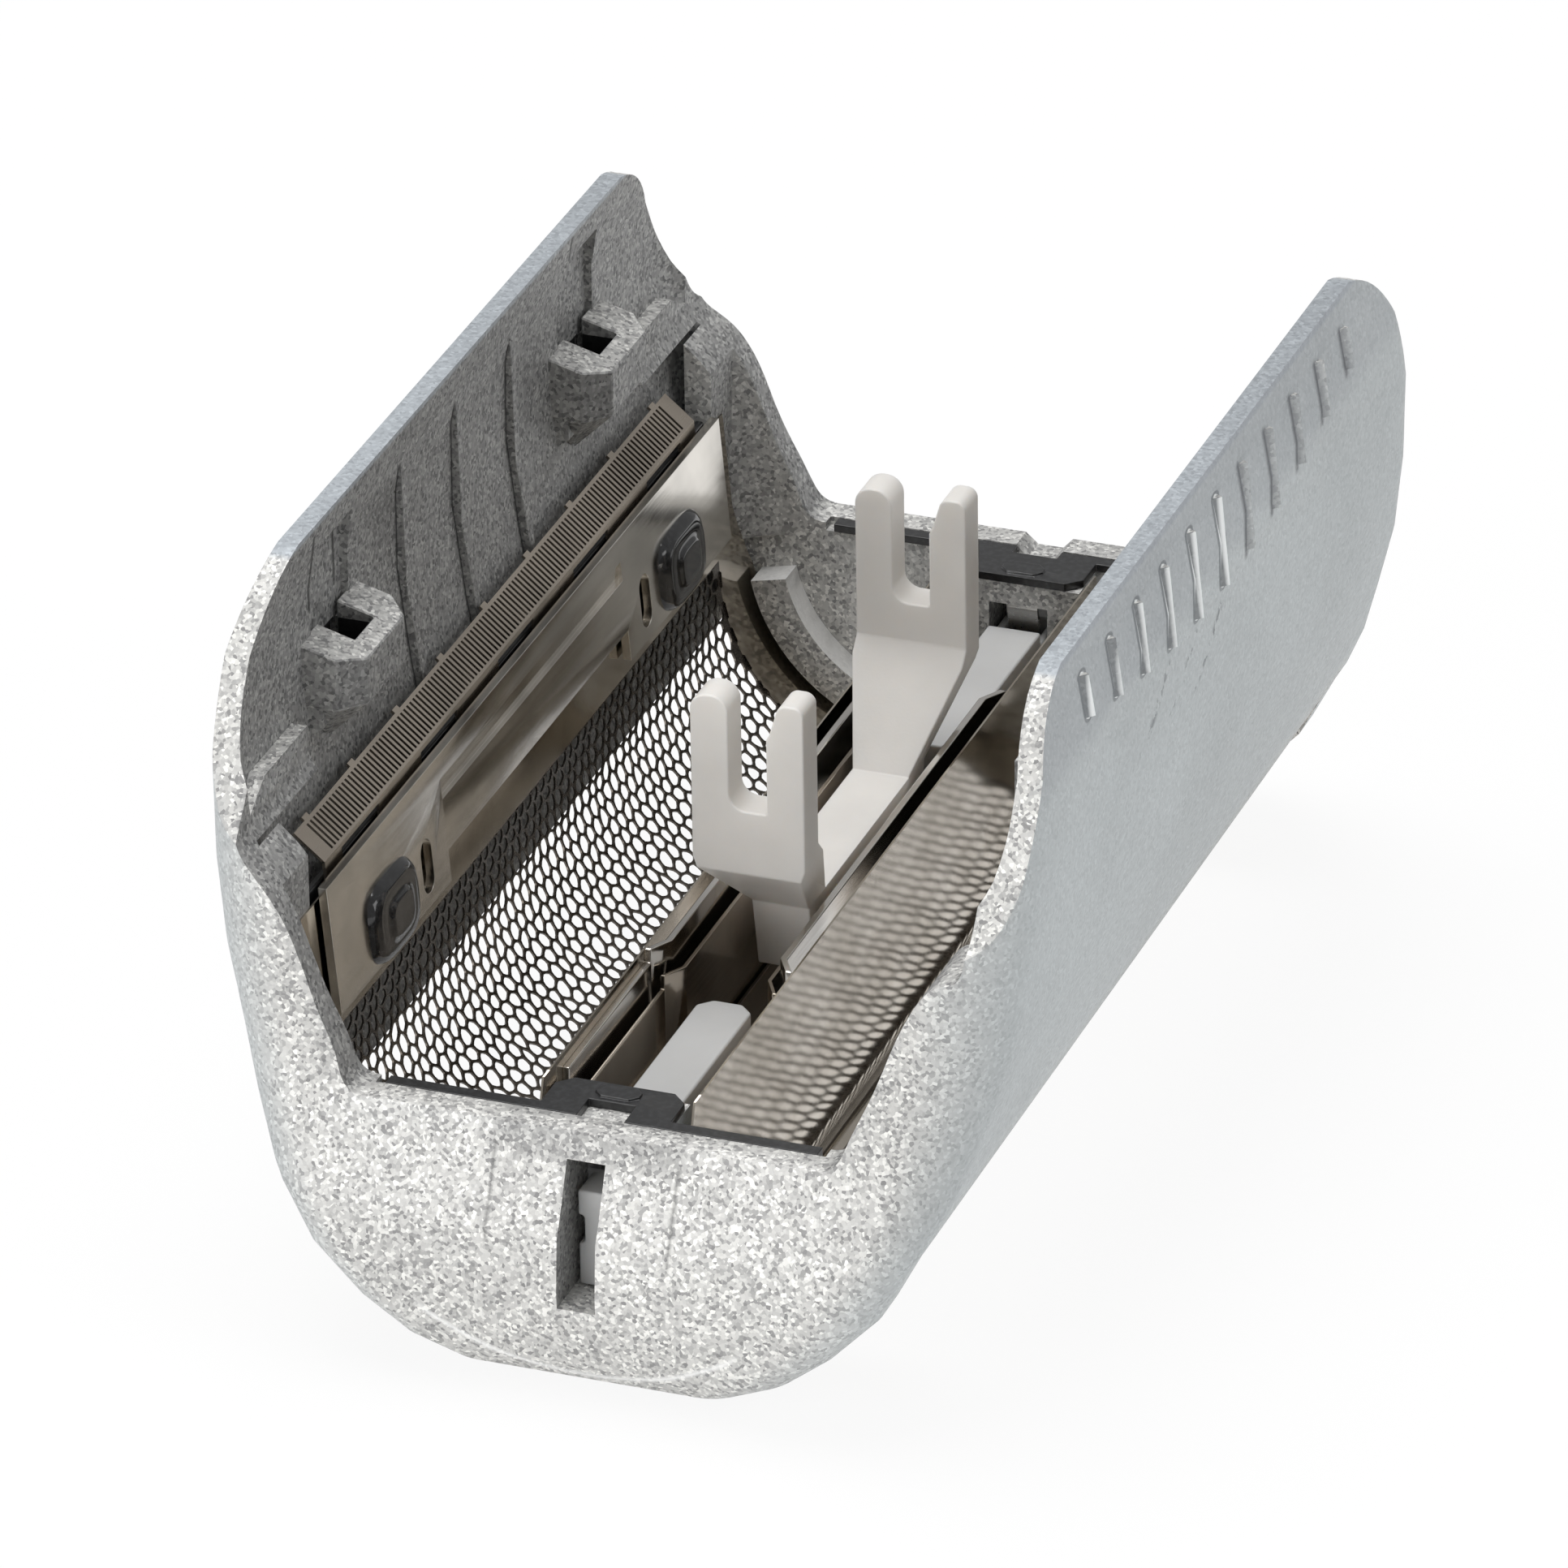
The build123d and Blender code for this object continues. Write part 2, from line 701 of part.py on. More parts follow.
def flared_wall(x, flare, half_length, thickness, bottom, top, end_top):
    """Upright sheet wall that flares outwards near both ends, with lower ends."""
    start = flare_start
    stop = flare_start + flare_run
    outer = [(x, -start), (x, start), (x + flare, stop), (x + flare, half_length)]
    back = [(x + flare - thickness, half_length), (x + flare - thickness, stop),
            (x - thickness, start), (x - thickness, -start),
            (x + flare - thickness, -stop), (x + flare - thickness, -half_length),
            (x + flare, -half_length), (x + flare, -stop)]
    face = make_face(Polyline(*(outer + back), close=True))
    wall = extrude(Pos(0, 0, bottom) * face, amount=top - bottom)
    reach = x + flare + thickness
    for end in both_ends(block(0, reach, stop, half_length + thickness, end_top, top)):
        wall -= end
    return wall


def inner_strip():
    """Steel strip along the foil's inner wall."""
    x = strip_inner_x + inner_strip_thickness - comb_flare
    top = foil_inner_wall_top + strip_seat
    return flared_wall(x, comb_flare, inner_strip_length / 2, inner_strip_thickness,
                       top - inner_strip_height, top, top - comb_end_drop)


def trimmer_comb():
    """Outer comb of the trimmer: a sheet channel with slots across its lower edge."""
    half = comb_half
    floor = block(-half, half, -comb_length / 2, comb_length / 2, comb_bottom, comb_bottom + comb_sheet)
    comb = floor
    walls = flared_wall(half, comb_flare, comb_length / 2, comb_sheet, comb_bottom + tooth_rise,
                        comb_wall_top, comb_wall_top - comb_end_drop)
    low = block(half - comb_sheet, half, -comb_length / 2, comb_length / 2, comb_bottom,
                comb_bottom + tooth_rise)
    shelf = block(half - comb_sheet, half + comb_flare, -comb_length / 2, comb_length / 2,
                  comb_bottom + tooth_rise, comb_bottom + tooth_rise + comb_sheet)
    shelf -= block(0, frame_width, -flare_start, flare_start, 0, wing_height)
    for piece in (walls, low, shelf):
        for side in both_sides(piece):
            comb += side
    count = int((2 * flare_start - tooth_pitch) / tooth_pitch)
    slots = []
    for step in range(count):
        y = (step - (count - 1) / 2) * tooth_pitch
        slots.append(block(-comb_width, comb_width, y - tooth_gap / 2, y + tooth_gap / 2,
                           comb_bottom - comb_sheet, comb_bottom + tooth_rise - comb_sheet))
    return comb - slots


def inner_cutter():
    """Inner cutter of the trimmer: a sheet channel with slots, inside the comb."""
    half = comb_half - comb_sheet - cutter_gap
    low = comb_bottom + comb_sheet + cutter_gap
    outer = block(-half, half, -cutter_length / 2, cutter_length / 2, low, low + cutter_wall_height)
    inner = block(-half + cutter_sheet, half - cutter_sheet, -cutter_length, cutter_length,
                  low + cutter_sheet, low + 2 * cutter_wall_height)
    cutter = outer - inner
    bead = block(-cutter_bead_width / 2, cutter_bead_width / 2, -cutter_length / 2, cutter_length / 2,
                 low + cutter_sheet, low + cutter_sheet + cutter_bead_height)
    slots = []
    count = int((2 * flare_start - tooth_pitch) / tooth_pitch)
    for step in range(count):
        y = (step - (count - 1) / 2) * tooth_pitch
        slots.append(block(-comb_width, comb_width, y - tooth_gap / 2, y + tooth_gap / 2,
                           low - cutter_gap, low + tooth_rise - 2 * comb_sheet))
    return (cutter - slots) + bead


def drive_forks():
    """White moulding with two forks that the shaver's oscillating drive engages."""
    low = comb_bottom + comb_sheet + cutter_gap + cutter_sheet + cutter_bead_height
    outer_y = fork_position + fork_thickness / 2
    inner_y = fork_position - fork_thickness / 2
    half_slot = fork_slot_width / 2
    lead = fork_lead_in
    plate_outline = make_face(Polyline(
        (-fork_width / 2, fork_shoulder), (-fork_width / 2, fork_top), (-half_slot, fork_top),
        (-half_slot, fork_slot_bottom), (half_slot, fork_slot_bottom),
        (half_slot, fork_top - 3 * lead), (half_slot + lead / 4, fork_top - 2.5 * lead),
        (half_slot + lead, fork_top), (fork_width / 2, fork_top), (fork_width / 2, fork_shoulder),
        (stem_width / 2, stem_knee), (-stem_width / 2, stem_knee), close=True))
    tips = plate_outline.vertices().group_by(Axis.Y)[-1].sort_by(Axis.X)
    plate_outline = fillet(tips[:2], fork_tip_radius)
    tips = plate_outline.vertices().group_by(Axis.Y)[-1].sort_by(Axis.X)
    plate_outline = fillet(tips[-2:], fork_tip_radius * 0.6)
    corner = plate_outline.vertices().filter_by_position(Axis.Y, fork_slot_bottom, fork_slot_bottom)
    plate_outline = fillet(corner.sort_by(Axis.X)[0], half_slot * 0.9)
    side_outline = make_face(Polyline(
        (inner_y, fork_top), (outer_y, fork_top), (outer_y, fork_shoulder - 0.4),
        (stem_foot + 0.7, stem_knee), (stem_foot + 0.2, beam_bottom), (0, beam_bottom),
        (0, stem_knee), (stem_foot - 0.9, stem_knee), (inner_y, fork_shoulder + 0.5), close=True))
    plate = extrude(Plane.XZ * plate_outline, amount=frame_length / 2, both=True)
    fork = extrude(Plane.YZ * side_outline, amount=fork_width / 2, both=True)
    upper = fork & plate
    beam = block(-stem_width / 2, stem_width / 2, 0, stem_foot, beam_bottom, stem_knee)
    lower = fork & block(-stem_width / 2, stem_width / 2, 0, fork_position, 0, stem_knee)
    forks = beam + lower + upper
    both = forks + mirror(forks, about=Plane.XZ)
    half = comb_half - comb_sheet - cutter_gap - cutter_sheet - strip_seat
    foot = block(-half, half, -post_half_length, post_half_length, low, beam_bottom)
    return both + foot


def guide_bar():
    """White guide block at the far end: bar over the cutter, foot and arm in the end slot."""
    half = bar_width / 2
    foot_bottom = comb_bottom + comb_sheet
    inside_top = ledge_height - guide_ledge - float_travel - guide_drop
    outline = [
        (bar_tip, bar_top), (guide_block_start - guide_drop, bar_top),
        (guide_block_start - guide_drop, inside_top), (end_wall_inner - guide_side_gap, inside_top),
        (end_wall_inner - guide_side_gap, end_slot_bottom + strip_seat),
        (guide_block_start - guide_drop, end_slot_bottom + strip_seat),
        (guide_block_start - guide_drop, foot_bottom), (cutter_length / 2 + stroke + guide_drop, foot_bottom),
        (cutter_length / 2 + stroke + guide_drop, bar_top - bar_depth), (bar_tip, bar_top - bar_depth),
    ]
    side = Plane.YZ * make_face(Polyline(*outline, close=True))
    bar = extrude(side, amount=half, both=True)
    foot_limit = comb_length / 2
    bar -= block(-frame_width, frame_width, foot_limit, guide_block_start, 0, end_slot_bottom + strip_seat)
    tip_edges = bar.edges().filter_by(Axis.Z).group_by(Axis.Y)[0]
    bar = chamfer(tip_edges, bar_chamfer)
    arm_end = arm_outer_y()
    arm = block(-arm_width / 2, arm_width / 2, end_wall_inner - guide_drop, arm_end,
                end_slot_bottom + strip_seat, inside_top)
    waist_low = end_slot_bottom + (inside_top - end_slot_bottom) * 0.45
    waist = block(-arm_width / 2, -arm_width / 2 + arm_waist, end_wall_inner + guide_drop, arm_end + arm_recess,
                  waist_low, waist_low + arm_width)
    bar += arm - waist
    half_well = spring_reach / 2 + spring_fit
    well = block(-spring_width / 2 - spring_fit, spring_width / 2 + spring_fit, spring_y() - half_well,
                 spring_y() + half_well, inside_top - spring_well_depth, inside_top)
    return bar - well


def arm_outer_y():
    """Where the guide arm ends, just inside the end wall's outer face."""
    return frame_length / 2 - wall_form[1][2] - arm_recess


def spring_y():
    """The float spring stands in the middle of the guide block."""
    return (guide_block_start + end_wall_inner) / 2


def float_spring():
    """Folded leaf spring between the guide block's well and the frame's ledge, far end."""
    inside_top = ledge_height - guide_ledge - float_travel - guide_drop
    low = inside_top - spring_well_depth + spring_sheet / 2
    high = ledge_height - guide_ledge - spring_sheet / 2
    near = -spring_reach / 2
    far = spring_reach / 2
    path = FilletPolyline((near, low), (far, low), (near, high), (far, high), radius=spring_bend)
    leaf = extrude(Plane.YZ * trace(path, line_width=spring_sheet), amount=spring_width / 2, both=True)
    return Pos(0, spring_y(), 0) * leaf


def cap_plate(notch_depth):
    """Black plate on the far ledge, with a narrow lip along the rim and a notch."""
    outer = end_wall_inner + cap_lip - strip_seat
    inner = guide_block_start
    lip = Pos(0, outer - cap_lip / 2) * Rectangle(2 * cap_lip_half, cap_lip)
    middle = make_face(Polyline(
        (-cap_half, outer), (-cap_half, inner + cap_chamfer), (-cap_half + cap_chamfer, inner),
        (cap_half - cap_chamfer, inner), (cap_half, inner + cap_chamfer), (cap_half, outer), close=True))
    notch = Pos(0, outer - notch_depth / 2) * Rectangle(cap_notch_width, notch_depth)
    plate = extrude(Pos(0, 0, ledge_height) * (lip + middle - notch), amount=cap_thickness)
    pip_y = inner + (outer - near_cap_notch - inner) / 2
    pip_face = chamfer(Rectangle(pip_length, pip_width).vertices(), pip_width / 3)
    pip = extrude(Pos(0, pip_y, ledge_height + cap_thickness) * pip_face, amount=pip_height)
    return plate + pip


def write(name, part):
    part.label = name
    export_step(part, os.path.join("parts", name + ".step"))


os.makedirs("parts", exist_ok=True)
write("outer_frame", outer_frame())
for name, right in (
    ("foil", foil()),
    ("inner_strip", inner_strip()),
    ("clamp_strip", clamp_strip()),
    ("foil_rail", foil_rail()),
    ("side_comb", side_comb()),
):
    for side, piece in zip(("right", "left"), both_sides(right)):
        write(side + "_" + name, piece)
write("far_cap_plate", cap_plate(far_cap_notch))
write("near_cap_plate", mirror(cap_plate(near_cap_notch), about=Plane.XZ))
for name, far in (
    ("guide_block", guide_bar()),
    ("float_spring", float_spring()),
):
    for end, piece in zip(("far", "near"), both_ends(far)):
        write(end + "_" + name, piece)
write("trimmer_comb", trimmer_comb())
write("inner_cutter", Pos(0, cutter_rest_shift, 0) * inner_cutter())
write("drive_forks", Pos(0, cutter_rest_shift, 0) * drive_forks())
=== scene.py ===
import bpy
import bmesh
import json
import math
import numpy as np
from mathutils import Matrix

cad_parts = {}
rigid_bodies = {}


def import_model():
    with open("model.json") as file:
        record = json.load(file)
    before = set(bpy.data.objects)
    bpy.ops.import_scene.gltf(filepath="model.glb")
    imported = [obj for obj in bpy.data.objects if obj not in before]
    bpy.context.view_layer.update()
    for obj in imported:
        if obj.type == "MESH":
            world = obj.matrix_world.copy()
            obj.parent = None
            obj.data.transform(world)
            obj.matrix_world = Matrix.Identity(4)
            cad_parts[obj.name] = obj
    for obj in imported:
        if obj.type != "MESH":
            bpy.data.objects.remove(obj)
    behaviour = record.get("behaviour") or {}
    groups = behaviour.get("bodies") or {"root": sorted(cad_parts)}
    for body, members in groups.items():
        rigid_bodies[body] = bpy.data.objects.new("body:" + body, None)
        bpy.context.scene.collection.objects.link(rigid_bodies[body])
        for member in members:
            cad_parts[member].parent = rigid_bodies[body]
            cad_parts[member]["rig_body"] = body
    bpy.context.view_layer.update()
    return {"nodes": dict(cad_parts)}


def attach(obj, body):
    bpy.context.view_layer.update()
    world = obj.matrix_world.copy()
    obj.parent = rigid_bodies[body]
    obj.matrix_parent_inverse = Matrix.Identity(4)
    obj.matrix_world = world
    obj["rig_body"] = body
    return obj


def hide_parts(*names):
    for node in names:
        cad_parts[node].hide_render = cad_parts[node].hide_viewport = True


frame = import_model()

# Outer frame. One plastic moulding with two tall wings, low ends and rounded cheeks, sprayed
# with a coarse silver metallic paint that sparkles. The foils, the trimmer and the strips
# all sit in it, and four C-shaped collars stand round the latch pockets in its wings.
MM = 0.001  # lengths are in millimetres, and MM turns them into metres
frame_edge_round = 0.10
smooth_limit = math.radians(35.0)
# Tones of the same silver paint, lit and shaded by the way a face turns: painted light, painted
# shade on faces turned to the middle, a cooler painted shade on outward faces and a painted cool
# sheen along the wing tops.
silver_lit = (0.62, 0.615, 0.60)
silver_shade = (0.30, 0.30, 0.297)
silver_cool_shade = (0.46, 0.49, 0.50)
silver_top_sheen = (0.40, 0.43, 0.46)
# Tones of the marks. All but the darker band and the panel's edges paint light and shade: painted
# shade in the creases, along the grooves, on the grip rims, tails and far ridges, under the rim
# and in the latch pockets, and painted highlights on the end ribs, the grip ridges and the end
# walls' arc.
crease_shade = (0.07, 0.07, 0.07)
rib_highlight = (0.92, 0.92, 0.91)
groove_shade = (0.01, 0.01, 0.01)
band_dark = (0.27, 0.28, 0.31)
grip_rim_shade = (0.10, 0.11, 0.12)
grip_highlight = (0.88, 0.90, 0.90)
tail_shade = (0.14, 0.15, 0.16)
shade_dark = (0.07, 0.07, 0.08)
arc_highlight = (0.95, 0.95, 0.94)
panel_dark = (0.10, 0.10, 0.10)
shadow_dark = (0.22, 0.22, 0.22)
pocket_shade = (0.004, 0.004, 0.004)
flakes_per_metre = 8600.0
specks_per_metre = 3200.0
clouds_per_metre = 120.0
flake_stops = [(0.0, (0.42, 0.42, 0.43)), (0.35, (0.86, 0.86, 0.86)),
               (0.75, (1.06, 1.06, 1.05)), (1.0, (1.5, 1.5, 1.48))]
cloud_stops = [(0.3, (0.93, 0.93, 0.93)), (0.7, (1.05, 1.05, 1.05))]
paint_relief = 0.03

# Heights and distances of the frame's regions, from the middle of the head.
wall_inside = 10.0
wall_foot = 10.0
wall_skin = 13.3
crease_reach = 13.6
wing_outside = 12.0
top_band = 23.85
grip_band = 20.6
end_rim = 8.2
rib_from = 19.3
rib_to = 20.55

# Lines drawn in the paint, each from (y, z) at its top to (y, z) at its foot: painted shade along
# the moulding grooves inside the wings, then painted highlights and shade on the eleven grip
# ridges outside them and their tails.
groove_lines = [(10.0, 23.9, 10.0, 19.9), (4.62, 22.4, 4.62, 12.5),
                (-0.28, 22.4, -0.28, 13.5), (-5.18, 22.6, -5.18, 14.0),
                (-9.95, 23.1, -9.95, 20.4), (-12.9, 23.8, -12.7, 20.7)]
groove_width = 0.15
ridge_pitch = 28.8 / 11
ridge_steps = [(k * ridge_pitch, 1.0 + 1.9 * math.cos(math.radians(16.0 * k)))
               for k in range(-5, 6)]
grip_lines = [(y, 23.3, y - 0.15 * drop, 22.9 - drop) for y, drop in ridge_steps[:6]]
grip_width = 0.50
tail_lines = [(y - 0.4, 22.8 - drop, y - 3.6, 20.6 - drop) for y, drop in ridge_steps[3:6]]
tail_width = 0.42
shade_lines = [(y - 0.3, 23.3, y - 0.3 - 0.15 * drop, 22.8 - drop)
               for y, drop in ridge_steps[6:]]
shade_width = 0.26

# Marks on the outer faces of the end walls: a painted highlight along a shallow arc z = low +
# rise x^2, a panel's two upright edges, and a painted shadow under the rim.
end_face = 17.5
end_face_half = 5.0
arc_low = 0.65
arc_rise = 0.066
arc_width = 0.17
panel_half = 3.08
panel_line = 0.11
panel_foot = 5.0
shadow_from = 7.8

# Latch pockets and the collars round them.
pocket_middle = 11.0
pocket_half = 0.86
pocket_from = 11.68
pocket_to = 13.3
pocket_floor = 17.6
pocket_mouth = 19.36
pocket_soft = 0.02
seat_face = 12.9
seat_height = 19.95
seat_slope = 0.28
seat_under = 17.8
seat_root = 15.9
seat_round = 0.05
seat_collar = [(-0.1, -2.45), (1.2, -2.45), (1.95, -1.6), (1.95, 1.6), (1.2, 2.45),
               (-0.1, 2.45), (-0.1, 0.85), (1.2, 0.85), (1.2, -0.85), (-0.1, -0.85)]
seat_outside = 6
seat_foot = [(-0.1, -1.1), (0.05, -1.1), (0.15, -0.7), (0.15, 0.7), (0.05, 1.1), (-0.1, 1.1)]


def placed(name, data):
    """A new object at the origin that shows a mesh, or holds a lamp or a camera."""
    piece = bpy.data.objects.new(name, data)
    bpy.context.scene.collection.objects.link(piece)
    return piece


def merged_copy(node, name, edge_round, segments=2):
    """A copy of a CAD node with its loose triangles joined into one skin, smooth up to
    a bend of 35 degrees, its sharper edges rounded by 'edge_round' millimetres."""
    source = frame["nodes"][node]
    mesh = source.data.copy()
    mesh.materials.clear()
    skin = bmesh.new()
    skin.from_mesh(mesh)
    bmesh.ops.remove_doubles(skin, verts=skin.verts, dist=0.002 * MM)
    bmesh.ops.dissolve_limit(skin, angle_limit=math.radians(0.5), verts=skin.verts,
                             edges=skin.edges)
    skin.to_mesh(mesh)
    skin.free()
    for layer_name in [layer.name for layer in mesh.color_attributes]:
        mesh.color_attributes.remove(mesh.color_attributes[layer_name])
    mesh.shade_smooth()
    mesh.set_sharp_from_angle(angle=smooth_limit)
    piece = placed(name, mesh)
    if edge_round > 0:
        rounding = piece.modifiers.new("edge_round", "BEVEL")
        rounding.width = edge_round * MM
        rounding.segments = segments
        rounding.limit_method = "ANGLE"
        rounding.angle_limit = smooth_limit
        rounding.harden_normals = True
        rounding.miter_outer = "MITER_ARC"
    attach(piece, source["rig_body"])
    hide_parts(node)
    return piece


def new_material(name):
    """An empty material with its output and one main shader."""
    material = bpy.data.materials.new(name)
    material.use_nodes = True
    tree = material.node_tree
    tree.nodes.clear()
    output = tree.nodes.new("ShaderNodeOutputMaterial")
    shader = tree.nodes.new("ShaderNodeBsdfPrincipled")
    tree.links.new(shader.outputs["BSDF"], output.inputs["Surface"])
    return material, tree, shader


def grain(tree, kind, scale, detail=2.0):
    """A noise or cell pattern on the piece's own coordinates, in cells per metre."""
    place = tree.nodes.new("ShaderNodeTexCoord")
    pattern = tree.nodes.new("ShaderNodeTexNoise" if kind == "noise" else "ShaderNodeTexVoronoi")
    pattern.inputs["Scale"].default_value = scale
    if kind == "noise":
        pattern.inputs["Detail"].default_value = detail
    tree.links.new(place.outputs["Object"], pattern.inputs["Vector"])
    return pattern


def ramp(tree, value, stops):
    """Colours along a value, as (place, colour) stops."""
    node = tree.nodes.new("ShaderNodeValToRGB")
    while len(node.color_ramp.elements) < len(stops):
        node.color_ramp.elements.new(0.5)
    for element, (place, colour) in zip(node.color_ramp.elements, stops):
        element.position = place
        element.color = tuple(colour) + (1.0,)
    tree.links.new(value, node.inputs["Fac"])
    return node.outputs["Color"]


def blend(tree, share, first, second, mode="MIX"):
    """Two colours mixed by a share, each a socket or a plain colour."""
    node = tree.nodes.new("ShaderNodeMix")
    node.data_type = "RGBA"
    node.blend_type = mode
    for index, value in ((0, share), (6, first), (7, second)):
        socket = node.inputs[index]
        if isinstance(value, bpy.types.NodeSocket):
            tree.links.new(value, socket)
        elif isinstance(value, (int, float)):
            socket.default_value = value
        else:
            socket.default_value = tuple(value) + (1.0,)
    return node.outputs[2]


def figure(tree, operation, first, second=0.0):
    """One sum on two values, each a socket or a number."""
    node = tree.nodes.new("ShaderNodeMath")
    node.operation = operation
    for socket, value in ((node.inputs[0], first), (node.inputs[1], second)):
        if isinstance(value, bpy.types.NodeSocket):
            tree.links.new(value, socket)
        else:
            socket.default_value = value
    return node.outputs[0]


def raise_by(tree, shader, height, distance, strength):
    """Fine relief from a height pattern, 'distance' in metres."""
    node = tree.nodes.new("ShaderNodeBump")
    node.inputs["Distance"].default_value = distance
    node.inputs["Strength"].default_value = strength
    tree.links.new(height, node.inputs["Height"])
    tree.links.new(node.outputs["Normal"], shader.inputs["Normal"])


def product(tree, first, *others):
    """Several values multiplied with each other."""
    total = first
    for value in others:
        total = figure(tree, "MULTIPLY", total, value)
    return total


def without(tree, value):
    """1 - value."""
    return figure(tree, "SUBTRACT", 1.0, value)


def held(tree, value, low=0.0, high=1.0):
    """A value kept between two ends."""
    return figure(tree, "MINIMUM", figure(tree, "MAXIMUM", value, low), high)


def past(tree, value, edge, soft):
    """0 below an edge and 1 above it, over a soft width: (value - edge) / soft, held."""
    return held(tree, product(tree, figure(tree, "SUBTRACT", value, edge), 1.0 / soft))


def beyond(tree, place, edge, soft):
    """0 before an edge and 1 beyond it, for a place in metres and an edge in millimetres."""
    return past(tree, place, edge * MM, soft * MM)


def before(tree, place, edge, soft):
    """1 before an edge and 0 beyond it, for a place in metres and an edge in millimetres."""
    return without(tree, beyond(tree, place, edge, soft))


def near_line(tree, offset, width):
    """1 on a line and 0 at 'width' from it on both sides: 1 - |offset| / width, held."""
    away = figure(tree, "ABSOLUTE", offset)
    return held(tree, without(tree, product(tree, away, 1.0 / width)))


def on_lines(tree, y, z, lines, width):
    """1 on thin lines drawn on a wall from (y, z) at their top to (y, z) at their foot, in
    millimetres, falling to 0 at 'width' on both sides: 1 - |y - line y| / width."""
    total = 0.0
    for y_top, z_top, y_low, z_low in lines:
        slope = (y_top - y_low) / (z_top - z_low)
        line_y = figure(tree, "ADD", product(tree, z, slope), (y_low - slope * z_low) * MM)
        mark = near_line(tree, figure(tree, "SUBTRACT", y, line_y), width * MM)
        ends = product(tree, beyond(tree, z, z_low, 0.2), before(tree, z, z_top - 0.2, 0.2))
        total = figure(tree, "ADD", total, product(tree, mark, ends))
    return held(tree, total)


def wall_marks(tree, x, y, z, inside, outside, wall, speck):
    """Marks on the wings as (share, colour): painted shade along the moulding grooves inside,
    then a darker band, grip ridges drawn as painted highlights with painted shade on their rims,
    dotted tails of painted shade and painted shade on the far ridges outside."""
    # Painted shade along the grooves inside the wings.
    grooves = product(tree, on_lines(tree, y, z, groove_lines, groove_width), wall, inside)
    right = product(tree, beyond(tree, x, wing_outside, 0.1), outside)
    band = product(tree, beyond(tree, z, grip_band, 0.9), right)
    # Painted highlights down the grip ridges, with painted shade on their rims.
    grip = product(tree, on_lines(tree, y, z, grip_lines, grip_width), right)
    core = past(tree, grip, 0.5, 0.15)
    rim = held(tree, figure(tree, "SUBTRACT", past(tree, grip, 0.14, 0.12), core))
    dots = past(tree, speck, 0.53, 0.04)
    # Painted shade in the dotted tails and on the far ridges.
    tails = product(tree, on_lines(tree, y, z, tail_lines, tail_width), right, dots)
    shades = product(tree, on_lines(tree, y, z, shade_lines, shade_width), right)
    return [(product(tree, grooves, 0.95), groove_shade), (product(tree, band, 0.28), band_dark),
            (product(tree, rim, 0.60), grip_rim_shade), (core, grip_highlight),
            (product(tree, tails, 0.8), tail_shade), (product(tree, shades, 0.8), shade_dark)]


def end_marks(tree, x, z, wide, along, endward):
    """Shares of the painted highlight arc, the panel's edges and the painted shadow under the rim
    on the end walls.
    """
    front = product(tree, beyond(tree, along, end_face, 0.5),
                    held(tree, product(tree, endward, 4.0)),
                    before(tree, wide, end_face_half, 0.6))
    across = product(tree, x, 1.0 / MM)
    sag = product(tree, figure(tree, "POWER", across, 2.0), arc_rise)
    sag = figure(tree, "ADD", sag, arc_low)
    # Painted highlight along the arc.
    arc = near_line(tree, figure(tree, "SUBTRACT", product(tree, z, 1.0 / MM), sag), arc_width)
    panel = figure(tree, "SUBTRACT", figure(tree, "ABSOLUTE", across), panel_half)
    panel = product(tree, near_line(tree, panel, panel_line),
                    beyond(tree, z, panel_foot, 0.5), before(tree, z, end_rim, 0.3))
    shadow = product(tree, beyond(tree, z, shadow_from, 0.9), before(tree, wide, panel_half, 0.3))
    return (product(tree, arc, front, 0.8), product(tree, panel, front, 0.6),
            product(tree, shadow, front, 0.45))


def pocket_share(tree, z, wide, along):
    """1 inside the four latch pockets, 0 elsewhere."""
    reach = figure(tree, "ABSOLUTE", figure(tree, "SUBTRACT", along, pocket_middle * MM))
    return product(tree, before(tree, reach, pocket_half, pocket_soft),
                   beyond(tree, wide, pocket_from, pocket_soft),
                   before(tree, wide, pocket_to, pocket_soft),
                   before(tree, z, pocket_mouth, pocket_soft),
                   beyond(tree, z, pocket_floor, 0.1))


